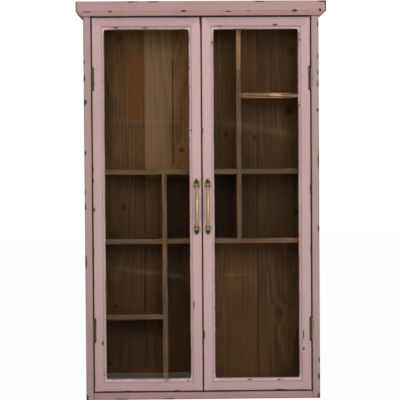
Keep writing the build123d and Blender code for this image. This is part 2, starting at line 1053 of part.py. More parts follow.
def bow_handle(hand):
    """Plates with raised rims, stems and crossbars, collars and the bow."""
    plane = Plane(
        origin=(hand * handle_x, front, handle_height), x_dir=(1, 0, 0), z_dir=(0, -1, 0)
    )
    tip = handle_length / 2
    shoulder = tip - plate_shoulder
    with BuildPart() as handle:
        for turn in (-1, 1):
            outline = plate_outline(plane, turn * tip, turn)
            extrude(outline.sketch, amount=plate_thickness)
            floor = plane.offset(plate_thickness - plate_recess)
            sunk = plate_outline(floor, turn * tip, turn)
            with BuildSketch(floor) as pocket:
                add(sunk.sketch_local)
                offset(amount=-plate_rim)
                with Locations((0, turn * (bow_half_span + shoulder) / 2)):
                    Rectangle(stem_width, shoulder - bow_half_span, mode=Mode.SUBTRACT)
                with Locations((0, turn * shoulder)):
                    Ellipse(crossbar_width / 2, crossbar_height / 2, mode=Mode.SUBTRACT)
            extrude(pocket.sketch, amount=plate_recess, mode=Mode.SUBTRACT)
        ovals = [bow_section(plane, step) for step in range(bow_sections)]
        loft([oval.sketch.faces()[0] for oval in ovals], ruled=True)
        for height in (-bow_half_span, bow_half_span):
            collar_plane = Plane(
                origin=plane.from_local_coords((0, height, 0)),
                x_dir=plane.z_dir,
                z_dir=plane.x_dir,
            )
            with BuildSketch(collar_plane) as collar:
                with BuildLine():
                    Polyline(
                        (plate_thickness + collar_radius, 0),
                        (0, 0),
                        (0, collar_radius),
                        (plate_thickness, collar_radius),
                    )
                    RadiusArc(
                        (plate_thickness, collar_radius),
                        (plate_thickness + collar_radius, 0),
                        collar_radius,
                    )
                make_face()
            revolve(collar.sketch, axis=Axis(collar_plane.origin, plane.z_dir))
            round_rod(
                plane.from_local_coords((0, height, 0)),
                plane.z_dir,
                handle_screw_radius + joint_slack,
                handle_screw_depth + joint_slack,
                Mode.SUBTRACT,
            )
    return handle


for hand, name in ((-1, "left"), (1, "right")):
    meeting_side = 1 if hand < 0 else 3
    hinge_side = 3 if hand < 0 else 1
    save(door_member(hand, 0), f"door_{name}_bottom_rail")
    save(door_member(hand, 2, strike_recess), f"door_{name}_top_rail")
    save(door_member(hand, meeting_side, handle_holes), f"door_{name}_meeting_stile")
    save(door_member(hand, hinge_side, hinge_recesses), f"door_{name}_hinge_stile")

    corners = door_corners(hand)
    with BuildPart() as mitre_keys:
        for corner, inwards in zip(corners, inwards_at_corner):
            key_plates(corner, inwards, 0)
    save(mitre_keys, f"door_{name}_mitre_keys")

    glass_margin = solid_width + glass_slack
    low_corner, high_corner = corners[0], corners[2]
    with BuildPart() as glass:
        block(
            (low_corner[0] + glass_margin, glass_front, door_bottom + glass_margin),
            (
                high_corner[0] - glass_margin,
                glass_front + glass_thickness,
                door_top - glass_margin,
            ),
        )
    save(glass, f"door_{name}_glass")

    save(glazing_strips(hand), f"door_{name}_glazing_strips")

    with BuildPart() as door_hinge_screws:
        for height in hinge_screw_places():
            head = (hand * door_outer, hinge_screw_y, height)
            wood_screw(head, (-hand, 0, 0), screw_length)
    save(door_hinge_screws, f"door_{name}_hinge_screws")

    with BuildPart() as strike:
        turned(catch_plane(hand, door_rear, False), strike_section(0))
    save(strike, f"door_{name}_strike")

    save(bow_handle(hand), f"door_{name}_handle")

    with BuildPart() as handle_screws:
        for height in handle_screw_places():
            screw_plane = Plane(
                origin=(hand * handle_x, door_rear, height),
                x_dir=(0, -1, 0),
                z_dir=(0, 0, 1),
            )
            turned(screw_plane, handle_screw_section())
    save(handle_screws, f"door_{name}_handle_screws")
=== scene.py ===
"""Looks of the painted wall cabinet: paint, stained fir, glass, brass and small fasteners."""

import json
import math
from functools import reduce

import bmesh
import bpy
from mathutils import Matrix, Vector

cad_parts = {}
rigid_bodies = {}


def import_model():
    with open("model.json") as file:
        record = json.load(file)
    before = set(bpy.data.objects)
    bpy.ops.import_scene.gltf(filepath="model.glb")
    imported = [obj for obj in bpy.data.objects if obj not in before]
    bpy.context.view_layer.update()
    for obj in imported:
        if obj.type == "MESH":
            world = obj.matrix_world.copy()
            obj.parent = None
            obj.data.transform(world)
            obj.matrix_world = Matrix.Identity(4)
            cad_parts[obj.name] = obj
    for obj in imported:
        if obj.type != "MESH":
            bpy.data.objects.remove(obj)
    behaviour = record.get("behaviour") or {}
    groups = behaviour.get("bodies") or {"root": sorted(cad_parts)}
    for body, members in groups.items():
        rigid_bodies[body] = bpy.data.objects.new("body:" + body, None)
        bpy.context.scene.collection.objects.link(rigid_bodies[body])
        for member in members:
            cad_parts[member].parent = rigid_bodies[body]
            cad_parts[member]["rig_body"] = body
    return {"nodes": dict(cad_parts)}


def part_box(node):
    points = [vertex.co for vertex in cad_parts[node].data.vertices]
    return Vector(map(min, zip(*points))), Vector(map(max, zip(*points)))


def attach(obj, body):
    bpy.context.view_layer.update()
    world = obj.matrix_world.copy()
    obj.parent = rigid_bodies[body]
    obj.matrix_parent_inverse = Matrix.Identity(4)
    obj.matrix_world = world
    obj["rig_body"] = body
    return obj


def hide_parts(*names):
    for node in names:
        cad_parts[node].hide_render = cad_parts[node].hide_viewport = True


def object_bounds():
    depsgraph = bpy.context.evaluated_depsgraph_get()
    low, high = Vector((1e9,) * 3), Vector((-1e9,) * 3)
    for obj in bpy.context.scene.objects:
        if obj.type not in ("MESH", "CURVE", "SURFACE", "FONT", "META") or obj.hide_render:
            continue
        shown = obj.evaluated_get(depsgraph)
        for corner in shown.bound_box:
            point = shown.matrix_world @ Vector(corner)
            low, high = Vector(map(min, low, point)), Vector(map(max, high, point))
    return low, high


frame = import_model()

bl_info = {
    "name": "Painted Wall Cabinet",
    "version": (1, 0, 0),
    "blender": (4, 5, 0),
    "location": "3D View > Sidebar > Cabinet",
    "description": "Finishes a glazed wall cabinet, adds its fasteners and sets up its studio",
    "category": "Object",
}

MM = 0.001
SIDES = {"left": -1, "right": 1}

cad_low, cad_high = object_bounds()


def tone(red, green, blue):
    """A colour as a paint chart gives it, 0 to 255, in linear values."""
    shares = [channel / 255 for channel in (red, green, blue)]
    return [s / 12.92 if s <= 0.04045 else ((s + 0.055) / 1.055) ** 2.4 for s in shares]


def at_level(colour, level):
    """A plain colour made darker or lighter; level 1 leaves it as it is."""
    return [channel * level for channel in colour]


# Planes of the case and the doors, read from the frame

case_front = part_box("side_left")[0].y
inner_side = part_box("head_rail")[1].x
floor_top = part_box("bottom_board")[1].z
head_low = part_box("head_rail")[0].z
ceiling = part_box("side_left")[1].z
door_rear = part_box("door_left_top_rail")[1].y
boards_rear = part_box("back_board_2")[1].y
shelf_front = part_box("shelf_upper")[0].y
door_gap = 2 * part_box("door_right_meeting_stile")[0].x
stile_low, stile_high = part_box("door_right_hinge_stile")
cornice_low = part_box("cornice_front")[0]

CORNICE_CHAMFER = 8.5 * MM
BEAD_RADIUS = 5 * MM
QUIRK_WIDTH = 1 * MM
chamfer_top = cornice_low.z + CORNICE_CHAMFER
# How far in from a door's edge its bead starts, and the quirk beside the bead
bead_start = stile_high.x - stile_low.x - BEAD_RADIUS
quirk_start = bead_start - QUIRK_WIDTH


# Nodes


class Number:
    """A varying number in a node tree, so that maths on it reads as Python."""

    def __init__(self, nodes, socket):
        self.nodes = nodes
        self.socket = socket

    def math(self, operation, first, second=0.0):
        made = self.nodes.node("ShaderNodeMath", {"operation": operation}, {0: first, 1: second})
        return Number(self.nodes, made.outputs[0])

    def __add__(self, other):
        return self.math("ADD", self, other)

    __radd__ = __add__

    def __sub__(self, other):
        return self.math("SUBTRACT", self, other)

    def __rsub__(self, other):
        return self.math("SUBTRACT", other, self)

    def __mul__(self, other):
        return self.math("MULTIPLY", self, other)

    __rmul__ = __mul__

    def __truediv__(self, other):
        return self.math("DIVIDE", self, other)

    def __pow__(self, other):
        return self.math("POWER", self, other)

    def __abs__(self):
        return self.math("ABSOLUTE", self)

    def root(self):
        return self.math("SQRT", self)

    def fraction(self):
        return self.math("FRACT", self)

    def most(self, other):
        return self.math("MAXIMUM", self, other)

    def least(self, other):
        return self.math("MINIMUM", self, other)

    def rise(self, low, high):
        """Goes smoothly from 0 at low to 1 at high; low may be the larger."""
        made = self.nodes.node(
            "ShaderNodeMapRange",
            {"interpolation_type": "SMOOTHSTEP"},
            {"Value": self, "From Min": low, "From Max": high},
        )
        return Number(self.nodes, made.outputs["Result"])


def strongest(shares):
    """The highest of several varying numbers, from place to place."""
    return reduce(Number.most, shares)


class Nodes:
    """A node tree, with one way to add a node of any kind."""

    def __init__(self, tree):
        self.tree = tree

    def node(self, kind, settings=None, inputs=None):
        """Adds a node: its settings first, then values or links of its sockets."""
        made = self.tree.nodes.new(kind)
        for name, value in (settings or {}).items():
            setattr(made, name, value)
        for name, value in (inputs or {}).items():
            self.feed(made.inputs[name], value)
        return made

    def feed(self, socket, value):
        """Sets a socket, or links it to a number, to another socket or to a list of sockets."""
        if isinstance(value, Number):
            value = value.socket
        links = value if isinstance(value, list) else [value]
        if isinstance(links[0], bpy.types.NodeSocket):
            for link in links:
                self.tree.links.new(link, socket)
        elif socket.type == "RGBA":
            socket.default_value = (*value, 1)
        else:
            socket.default_value = value

    def vector(self, operation, first, second=(0, 0, 0)):
        """Adds a step of vector maths."""
        return self.node("ShaderNodeVectorMath", {"operation": operation}, {0: first, 1: second})

    def mixed_shaders(self, share, first, second):
        """The first shader where share is 0 and the second where it is 1."""
        shaders = {0: share, 1: first.outputs[0], 2: second.outputs[0]}
        return self.node("ShaderNodeMixShader", None, shaders).outputs[0]


class Finish(Nodes):
    """A material's nodes, with the patterns that the cabinet's finishes share."""

    def __init__(self, name):
        self.material = bpy.data.materials.new(name)
        self.material.use_nodes = True
        self.material.node_tree.nodes.clear()
        super().__init__(self.material.node_tree)
        self.place = self.node("ShaderNodeTexCoord").outputs["Object"]
        split = self.node("ShaderNodeSeparateXYZ", None, {0: self.place})
        self.x, self.y, self.z = [Number(self, split.outputs[axis]) for axis in "XYZ"]

    def noise(self, rates, detail=2.0, roughness=0.5, shift=(0, 0, 0)):
        """Cloudy noise round 0.5, that changes at so many places a metre along each axis."""
        moved = self.node(
            "ShaderNodeMapping", None, {"Vector": self.place, "Scale": rates, "Location": shift}
        )
        made = self.node(
            "ShaderNodeTexNoise",
            None,
            {"Vector": moved.outputs[0], "Scale": 1.0, "Detail": detail, "Roughness": roughness},
        )
        return Number(self, made.outputs[0])

    def blend(self, share, first, second):
        """The first colour where share is 0 and the second where it is 1."""
        made = self.node(
            "ShaderNodeMix", {"data_type": "RGBA"}, {0: share, 6: first, 7: second}
        )
        return made.outputs[2]

    def scaled(self, colour, share):
        """A colour made lighter or darker by a varying share."""
        made = self.node("ShaderNodeVectorMath", {"operation": "SCALE"}, {0: colour, 3: share})
        return made.outputs[0]

    def spot(self, centre, half, ragged):
        """A mark with an uneven outline: 1 inside it and 0 outside."""
        away = self.vector("SUBTRACT", self.place, centre).outputs[0]
        scaled = self.vector("MULTIPLY", away, [1 / size for size in half]).outputs[0]
        length = self.vector("LENGTH", scaled).outputs["Value"]
        return (Number(self, length) + ragged).rise(1.08, 0.92)

    def edges(self, radius, samples=6):
        """How near a sharp edge is, from 0 to 1 on the edge, and the rounded normal."""
        rounded = self.node("ShaderNodeBevel", {"samples": samples}, {"Radius": radius}).outputs[0]
        flat = self.node("ShaderNodeNewGeometry").outputs["Normal"]
        dot = self.vector("DOT_PRODUCT", rounded, flat).outputs["Value"]
        at_square_edge = 1 - math.cos(math.radians(45))
        return (1 - Number(self, dot)) / at_square_edge, rounded

    def bump(self, height, distance, normal=None):
        """A normal that follows a height; the distance is that of height 1, in metres."""
        inputs = {"Height": height, "Distance": distance}
        if normal is not None:
            inputs["Normal"] = normal
        return self.node("ShaderNodeBump", None, inputs).outputs[0]

    def surface(self, inputs):
        """Ends the material in one Principled shader."""
        return self.ended(self.node("ShaderNodeBsdfPrincipled", None, inputs).outputs[0])

    def ended(self, shader):
        """Ends the material in a shader's socket."""
        self.node("ShaderNodeOutputMaterial", None, {"Surface": shader})
        return self.material


def rates_along(axis, across, lengthwise):
    """How fast a pattern changes on each axis, for grain that runs along one of them."""
    return tuple(lengthwise if name == axis else across for name in "xyz")


def dress(node, material):
    """Gives a CAD node its finish, on the object's own slots."""
    for slot in frame["nodes"][node].material_slots:
        slot.link = "OBJECT"
        slot.material = material


def dress_pairs(material, *names):
    """Gives a finish to the left and the right one of each CAD node; {} stands for the side."""
    for name in names:
        for side in SIDES:
            dress(name.format(side), material)


def body_of(node):
    return frame["nodes"][node]["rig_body"]


# Timber


GRAIN_DEPTH = 0.25 * MM


def timber(finish, axis, log, tones, knots=()):
    """Colour and height of fir cut from a log that lies along the given axis.

    log holds the pith's place across and through the board, the height at which
    the rings' arches end, the taper and the ring width, with lengths in metres.
    knots are (across, along, radius, how pale inside)."""
    across, through, lengthwise = {
        "x": (finish.y, finish.z, finish.x),
        "y": (finish.x, finish.z, finish.y),
        "z": (finish.x, finish.y, finish.z),
    }[axis]
    pith_across, pith_through, apex, taper, ring = log
    drift = finish.noise(rates_along(axis, 7, 1.2), 1.0, 0.5, (pith_across * 90, 3, 0)) - 0.5
    waver = finish.noise(rates_along(axis, 60, 6), 2.0, 0.5, (1, pith_across * 70, 0)) - 0.5
    side = across - pith_across + drift * 0.04
    deep = through - pith_through + (lengthwise - apex) * taper
    radius = (side * side + deep * deep).root() + waver * 0.003
    eyes = []
    halos = []
    for knot_across, knot_along, size, pale in knots:
        u = (across - knot_across) / size
        w = (lengthwise - knot_along) / (size * 1.25)
        away = (u * u + w * w).root() + waver * 0.7
        radius = radius + away.rise(3.4, 0.8) * size * 0.45
        eyes.append(away.rise(1.3, 0.6) - away.rise(0.8, 0.5) * pale + away.rise(0.32, 0.2) * pale)
        halos.append(away.rise(2.6, 1.1))
    years = finish.node(
        "ShaderNodeTexNoise",
        {"noise_dimensions": "1D"},
        {"W": radius / ring, "Scale": 1.0, "Detail": 2.0, "Roughness": 0.55},
    )
    years = Number(finish, years.outputs[0])
    late = (radius / ring).fraction() ** 2.5
    fibre = finish.noise(rates_along(axis, 540, 6), 3.0, 0.65)
    streaks = finish.noise(rates_along(axis, 320, 2.4), 4.0, 0.65, (5, 5, pith_across * 30))
    clouds = finish.noise(rates_along(axis, 15, 6), 4.0, 0.6, (9, pith_across * 50, 2))
    warmth = finish.noise(rates_along(axis, 130, 2), 3.0, 0.6, (4, pith_across * 40, 6))
    dark, middle, light, warm = tones
    share = (years - 0.5) * 0.5 + (streaks - 0.5) * 0.9 + (fibre - 0.5) * 1.1
    share = share + (clouds - 0.5) * 0.8 + late * 0.12 + 0.42
    colour = finish.blend(share.rise(0.0, 0.55), dark, middle)
    colour = finish.blend(share.rise(0.5, 1.1), colour, light)
    colour = finish.blend((clouds * 0.5 + warmth * 0.6).rise(0.5, 0.68) * 0.28, colour, warm)
    if knots:
        colour = finish.blend(strongest(halos) * 0.25, colour, warm)
        colour = finish.blend(strongest(eyes) * 0.72, colour, at_level(dark, 0.4))
    return colour, fibre * 0.5 + late * 0.5


def box_share(finish, low, high, border):
    """1 between two corners given as (x, z), falling to 0 over a soft border."""
    soft = min(border, (high[0] - low[0]) / 2, (high[1] - low[1]) / 2)
    wobble = (finish.noise((30, 30, 8), 2.0) - 0.5) * soft * 3
    left = (finish.x + wobble).rise(low[0] - soft, low[0] + soft)
    right = (finish.x + wobble).rise(high[0] + soft, high[0] - soft)
    foot = (finish.z + wobble).rise(low[1] - soft, low[1] + soft)
    head = (finish.z + wobble).rise(high[1] + soft, high[1] - soft)
    return left * right * foot * head


def stained(name, axis, log, tones, knots=(), patches=()):
    """Stained fir, dull and open-grained, with patches of stain and of painted shade as (low, high,
    colour, share).
    """
    finish = Finish(name)
    colour, height = timber(finish, axis, log, tones, knots)
    indoors = finish.y.rise(boards_rear - MM, boards_rear - 3 * MM)
    for low, high, patch_tone, share in patches:
        inside = box_share(finish, low, high, 0.006) * indoors
        colour = finish.blend(inside * share, colour, patch_tone)
    normal = finish.bump(height, GRAIN_DEPTH)
    roughness = 0.62 + height * 0.14
    return finish.surface(
        {"Base Color": colour, "Roughness": roughness, "Specular IOR Level": 0.1, "Normal": normal}
    )


# Paint


def painted(name, colour, paint, axis, marks, level, gap_shade, inside=None, joints=None, pale=None):
    """Brushed chalky paint over dark timber, worn through along its edges.

    marks are chips as (x, z, half width, half height) in millimetres, all at the front;
    level tells how light the coat is from place to place, painted light and shade included;
    the gap shade tells where painted shade darkens the gaps round the doors, and pale where
    the coat turns cream: rubbed undercoat, and on the doors' beads a painted highlight too.
    inside holds the log, the tones and the share of the stained timber that shows
    indoors, and joints tells where nothing rubs."""
    finish = Finish(name)
    edge, normal = finish.edges(paint.worn_width)
    if joints is not None:
        bridged = joints(finish)
        edge = edge * (1 - bridged)
        flat = finish.node("ShaderNodeNewGeometry").outputs["Normal"]
        mixed = finish.node("ShaderNodeMix", {"data_type": "VECTOR"}, {0: bridged, 4: normal, 5: flat})
        normal = mixed.outputs[1]
    patchy = finish.noise((19, 19, 19), 2.0, 0.5, (3, 1, 7)) - 0.5
    ragged = finish.noise((210, 210, 150), 4.0, 0.65, (2, 8, 5)) - 0.5
    flaked = finish.noise((620, 620, 430), 3.0, 0.6, (7, 2, 4)) - 0.5
    brushed = finish.noise(rates_along(axis, 420, 9), 3.0, 0.6)
    mottle = finish.noise((16, 16, 9), 4.0, 0.6)
    wear = edge.most(0.0).root() * 0.75 + patchy * 1.5 + ragged * 1.7
    chips = [wear.rise(paint.wear_limit, paint.wear_limit + 0.06)]
    outline = ragged * 1.5 + flaked * 3.0
    for x, z, half_width, half_height in marks:
        front = cornice_low.y if z * MM > cornice_low.z else case_front
        half = (half_width * MM, 6 * MM, half_height * MM)
        chips.append(finish.spot((x * MM, front, z * MM), half, outline))
    chips = strongest(chips)
    # level brings in painted light and shade as well as the coat's own tone
    bright = ((mottle - 0.5) * 0.24 + (brushed - 0.5) * 0.08 + 1.0) * level(finish)
    beige = [c * share for c, share in zip(colour, (1.0, 1.02, 0.98))]
    lilac = [c * share for c, share in zip(colour, (1.0, 0.975, 1.015))]
    coat = finish.blend((mottle + patchy * 0.6).rise(0.4, 0.6), beige, lilac)
    coat = finish.scaled(coat, bright)
    thin = edge.rise(0.4, 1.0) * 0.1 + (mottle + ragged * 0.5).rise(0.6, 0.8) * 0.14
    coat = finish.blend(thin, coat, paint.thin_colour)
    if pale is not None:
        worn = pale(finish) * (brushed + flaked * 0.5).rise(0.3, 0.6)
        coat = finish.blend(worn, coat, paint.pale_colour)
    # Painted shade in the gaps round the doors
    coat = finish.blend(gap_shade(finish), coat, paint.reveal_colour)
    bare = finish.blend((brushed + ragged).rise(0.3, 0.9), paint.chip_colour, paint.chip_light)
    body = finish.blend(chips, coat, bare)
    height = (brushed * 0.25 + mottle * 0.2) - chips * 0.9
    roughness = 0.5 + (mottle - 0.5) * 0.25 + chips * 0.25
    if inside is not None:
        timber_colour, timber_height = timber(finish, axis, inside["log"], inside["tones"])
        share = inside["share"](finish)
        body = finish.blend(share, body, timber_colour)
        roughness = roughness + share * 0.15
        height = height * (1 - share) + timber_height * share * 0.5
    normal = finish.bump(height, paint.brush_depth, normal)
    return finish.surface(
        {"Base Color": body, "Roughness": roughness, "Specular IOR Level": 0.3, "Normal": normal}
    )


def door_insets(finish):
    """How far a place lies in from its door's upright edges, and from its ends."""
    wide = abs(finish.x)
    from_side = (wide - door_gap / 2).least(stile_high.x - wide)
    return from_side, (finish.z - stile_low.z).least(stile_high.z - finish.z)


def rail_share(from_side, from_end):
    """1 on a door's rails and 0 on its stiles, with a soft change at the mitres."""
    return (from_side - from_end).rise(-10 * MM, 10 * MM)


def door_joints(finish):
    """1 along the doors' mitres and in the quirk of their bead, where nothing rubs."""
    from_side, from_end = door_insets(finish)
    near = abs(from_side - from_end).rise(9 * MM, 6 * MM)
    corner = from_side.most(from_end)
    return (near * corner.rise(0.5 * MM, 2 * MM)).most(quirk_share(from_side.least(from_end)))


def quirk_share(inset):
    """1 in the quirk and close beside it, by how far in from the door's edge a place is."""
    started = inset.rise(quirk_start - 2.4 * MM, quirk_start - 1.4 * MM)
    return started * inset.rise(bead_start + 1.6 * MM, bead_start + 0.6 * MM)


def case_level(finish):
    """The case's coat: painted shade towards the foot, painted light on the cornice's chamfer, and a
    darker line along the chamfer's top edge.
    """
    # Painted shade: darker towards the foot, as the light falls off downwards
    foot = finish.z.rise(0.7, 0.0) * 0.02
    proud = finish.y.rise(case_front - MM, case_front - 3 * MM)
    # Painted light on the cornice's chamfer, which faces down and away from the light
    chamfer_light = finish.z.rise(cornice_low.z - MM, cornice_low.z + MM)
    chamfer_light = chamfer_light * finish.z.rise(chamfer_top + 0.5 * MM, chamfer_top - 0.5 * MM)
    line = abs(finish.z - chamfer_top).rise(1.3 * MM, 0.3 * MM)
    return 1 - foot + chamfer_light * proud * 0.26 - line * proud * 0.16


def door_level(finish):
    """The doors' coat, with painted light and shade: lit at the meeting stiles and beads, shaded in
    the quirk and towards the foot; darker near the top ends and on the upper rails.
    """
    from_side, from_end = door_insets(finish)
    inset = from_side.least(from_end)
    rail = rail_share(from_side, from_end)
    upper = finish.z.rise(0.4, 0.5)
    # Painted highlight on the beads, strongest on the upper rails' beads, which face down
    bead = inset.rise(bead_start, bead_start + 0.6 * MM) * (0.14 + rail * upper * 0.45)
    close = from_end.rise(9 * MM, 0) * upper * 0.16
    # Painted pool of light on the meeting stiles
    middle = abs(finish.x).rise(60 * MM, 20 * MM) * (1 - rail) * 0.08
    # Painted shade: darker towards the foot
    foot = finish.z.rise(0.7, 0.0) * 0.03
    # Painted shade in the quirk beside the bead
    groove_shade = inset.rise(quirk_start - 0.4 * MM, quirk_start + 0.1 * MM)
    groove_shade = groove_shade * inset.rise(bead_start + 0.5 * MM, bead_start) * (rail * 0.16 + 0.14)
    return 1 + bead + middle - groove_shade - foot - close - rail * upper * 0.13


def door_pale(finish):
    """How far the beads turn cream, as rubbed undercoat and as a painted highlight: most on the rails.
    """
    from_side, from_end = door_insets(finish)
    on_bead = from_side.least(from_end).rise(bead_start + 0.4 * MM, bead_start + 1.6 * MM)
    return on_bead * (0.3 + rail_share(from_side, from_end) * 0.4)


def near_front(finish):
    """1 at the front of the case and 0 a few millimetres in."""
    return finish.y.rise(case_front + 4 * MM, case_front + MM)


def door_reveal(finish):
    """1 along the front arrises of the doors and just behind them, where painted shade darkens the
    gaps.
    """
    from_side, from_end = door_insets(finish)
    return from_side.least(from_end).rise(0.7 * MM, 0.3 * MM) * near_front(finish)


def in_opening(finish, top, outer, inner):
    """1 in the case's opening, up to a height, and 0 from a little outside it."""
    beside = abs(finish.x).rise(inner_side + outer, inner_side + inner)
    above = finish.z.rise(floor_top - outer, floor_top - inner)
    return beside * above * finish.z.rise(top + outer, top + inner)


def case_reveal(finish):
    """1 just inside the front of the case, beside, above and below the doors, where painted shade
    darkens the gaps.
    """
    return in_opening(finish, head_low, 0.6 * MM, 0.3 * MM) * near_front(finish)


def stained_inside(finish):
    """1 on the walls that close the interior in, behind the doors."""
    behind = finish.y.rise(door_rear - MM, door_rear + MM)
    return in_opening(finish, ceiling, 0.3 * MM, 0.1 * MM) * behind


# Settings


def colour_setting(name, description, red, green, blue):
    """A colour that a user may change, with its default as a paint chart gives it."""
    return bpy.props.FloatVectorProperty(
        name=name, description=description, subtype="COLOR", default=tone(red, green, blue),
        min=0, max=1,
    )


def length_setting(name, description, default, least=0):
    """A length that a user may change."""
    return bpy.props.FloatProperty(
        name=name, description=description, default=default, min=least, unit="LENGTH"
    )


def power_setting(name, description, default):
    """The power of a lamp."""
    return bpy.props.FloatProperty(
        name=name, description=description, default=default, min=0, unit="POWER"
    )


def angle_setting(name, description, degrees):
    """A turn of the camera, with its default in degrees."""
    return bpy.props.FloatProperty(
        name=name, description=description, subtype="ANGLE", unit="ROTATION",
        default=math.radians(degrees),
    )


class CabinetPaint(bpy.types.PropertyGroup):
    """Colours and wear of the paint."""

    case_colour: colour_setting("Case", "Paint of the cornice, top and bottom", 183, 144, 141)
    side_colour: colour_setting("Sides", "Paint of the sides", 180, 148, 146)
    door_colour: colour_setting("Doors", "Paint of the doors", 200, 166, 166)
    thin_colour: colour_setting("Thin paint", "Paint where it is rubbed thin", 140, 104, 98)
    chip_colour: colour_setting("Chips", "Dark timber that shows in a chip", 58, 38, 34)
    chip_light: colour_setting("Chips, light", "Lighter streaks of timber in a chip", 104, 74, 60)
    # Painted shade: this dark red-brown stands for the shade deep in the gaps round the doors
    reveal_colour: colour_setting("Gaps", "Soiled paint in the gaps round the doors", 80, 20, 16)
    pale_colour: colour_setting("Undercoat", "Cream undercoat that shows on the beads", 226, 202, 190)
    worn_width: length_setting("Worn width", "How far wear reaches in from an edge", 5 * MM)
    wear_limit: bpy.props.FloatProperty(
        name="Wear limit", description="Higher leaves fewer chips", default=0.72, min=0, max=2,
    )
    brush_depth: length_setting("Brush depth", "Depth of brush strokes and chips", 0.3 * MM)


class CabinetTimber(bpy.types.PropertyGroup):
    """Colours of the stained and bare timber."""

    stain_dark: colour_setting("Stain, dark", "Darkest streaks of the back boards", 60, 38, 20)
    stain_middle: colour_setting("Stain", "Middle tone of the back boards", 104, 71, 42)
    stain_light: colour_setting("Stain, light", "Lightest streaks of the back boards", 146, 112, 76)
    stain_warm: colour_setting("Stain, warm", "Orange-brown patches of the stain", 126, 73, 28)
    sanded: colour_setting("Sanded edges", "Front edges of the shelves", 107, 82, 61)
    # The rubbed colour is also the base of the painted highlight on the front edges
    rubbed: colour_setting("Rubbed edges", "Pale places on the front edges", 196, 142, 100)
    bare: colour_setting("Bare timber", "Dowels and loose tongues", 188, 150, 108)
    ring: length_setting("Ring width", "Width of one year's growth", 3.6 * MM, 0.5 * MM)


class CabinetMetal(bpy.types.PropertyGroup):
    """Colours of the metal and the glass."""

    brass: colour_setting("Brass", "Rubbed brass of the handles", 206, 182, 140)
    brass_dark: colour_setting("Brass, dark", "Patina in the hollows of the handles", 40, 32, 14)
    hinge: colour_setting("Hinges", "Browned metal of the hinges", 106, 84, 70)
    steel: colour_setting("Steel", "Zinc-plated screws, hangers and strikes", 176, 176, 172)
    magnet: colour_setting("Magnets", "Grey of the magnets", 70, 70, 72)
    glass: colour_setting("Glass", "Tint of the glass", 245, 247, 245)


class CabinetFasteners(bpy.types.PropertyGroup):
    """Sizes of the screws and nails that the frame doesn't give."""

    recess_width: length_setting(
        "Recess width", "Width of a screw's slot or cross", 0.75 * MM, 0.1 * MM
    )
    recess_depth: length_setting(
        "Recess depth", "Depth of a screw's slot or cross", 0.8 * MM, 0.1 * MM
    )
    nail_head: length_setting(
        "Nail head", "Radius of the back boards' nail heads", 1.7 * MM, 0.5 * MM
    )
    brad_head: length_setting(
        "Brad head", "Radius of the glazing strips' brad heads", 0.8 * MM, 0.3 * MM
    )
    brad_pitch: length_setting(
        "Brad pitch", "About how far apart the glazing brads are", 110 * MM, 20 * MM
    )
    seed: bpy.props.IntProperty(
        name="Seed", description="Turns the slots of the screws another way", default=7, min=0,
    )


class CabinetStudio(bpy.types.PropertyGroup):
    """Camera and lights."""

    camera_place: bpy.props.FloatVectorProperty(
        name="Camera", description="Where the camera stands", subtype="TRANSLATION",
        unit="LENGTH", default=(-0.080, -3.400, 0.5116),
    )
    yaw: angle_setting("Yaw", "Turn of the camera to the right", 1.294)
    pitch: angle_setting("Pitch", "Tilt of the camera downwards", 1.870)
    roll: angle_setting("Roll", "Turn of the camera about its view", -0.397)
    lens: bpy.props.FloatProperty(
        name="Lens", description="Focal length in millimetres on a 36 mm wide sensor",
        default=150.06, min=10,
    )
    key_power: power_setting("Key light", "Power of the large soft light above", 27.0)
    bounce_power: power_setting("Bounce light", "Power of the light from below", 7.2)
    strip_power: power_setting("Strip lights", "Power of each tall light at the sides", 8)
    glint_power: power_setting("Glint", "Power of the narrow light that only gloss shows", 10)
    sky: bpy.props.FloatProperty(
        name="Surround", description="Strength of the even light from all round",
        default=0.24, min=0,
    )
    floor_reach: length_setting(
        "Floor in front", "How far the floor reaches in front on the left", 0.385, 0.05
    )
    floor_step: length_setting("Floor step", "How much less the floor reaches on the right", 0.13)


GROUPS = {
    "cabinet_paint": CabinetPaint,
    "cabinet_timber": CabinetTimber,
    "cabinet_metal": CabinetMetal,
    "cabinet_fasteners": CabinetFasteners,
    "cabinet_studio": CabinetStudio,
}


# Fasteners


def separate_solids(node):
    """The corners of each separate solid of a CAD node."""
    copy = bmesh.new()
    copy.from_mesh(frame["nodes"][node].data)
    bmesh.ops.remove_doubles(copy, verts=copy.verts, dist=0.001 * MM)
    waiting = set(copy.verts)
    solids = []
    while waiting:
        edge_of_search = [waiting.pop()]
        found = []
        while edge_of_search:
            vertex = edge_of_search.pop()
            found.append(vertex.co.copy())
            for link in vertex.link_edges:
                other = link.other_vert(vertex)
                if other in waiting:
                    waiting.remove(other)
                    edge_of_search.append(other)
        solids.append(found)
    copy.free()
    return sorted(solids, key=lambda points: tuple(round(c, 5) for c in middle_of(points)))


def middle_of(points):
    low = Vector([min(p[i] for p in points) for i in range(3)])
    high = Vector([max(p[i] for p in points) for i in range(3)])
    return (low + high) / 2


def screw_in(points):
    """Where a CAD screw's head is, which way it faces, its length and head radius."""
    middle = middle_of(points)
    reach = [max(abs(p[i] - middle[i]) for p in points) for i in range(3)]
    long_axis = reach.index(max(reach))
    radius = max(reach[i] for i in range(3) if i != long_axis)
    rim = [p for p in points if off_axis(p - middle, long_axis) > radius * 0.95]
    facing = Vector((0, 0, 0))
    facing[long_axis] = 1 if sum(p[long_axis] - middle[long_axis] for p in rim) > 0 else -1
    return middle + facing * reach[long_axis], facing, 2 * reach[long_axis], radius


def off_axis(offset, axis):
    """How far a place is from an axis through the middle."""
    flat = offset.copy()
    flat[axis] = 0
    return flat.length


SIZE_INPUTS = [
    "Head radius", "Head base radius", "Head height", "Head proud", "Shank radius", "Length",
    "Recess length", "Recess width", "Recess depth", "Thread height",
]
THREAD_PITCH = 1.0 * MM
HEAD_SIDES = 28
SHANK_SIDES = 16


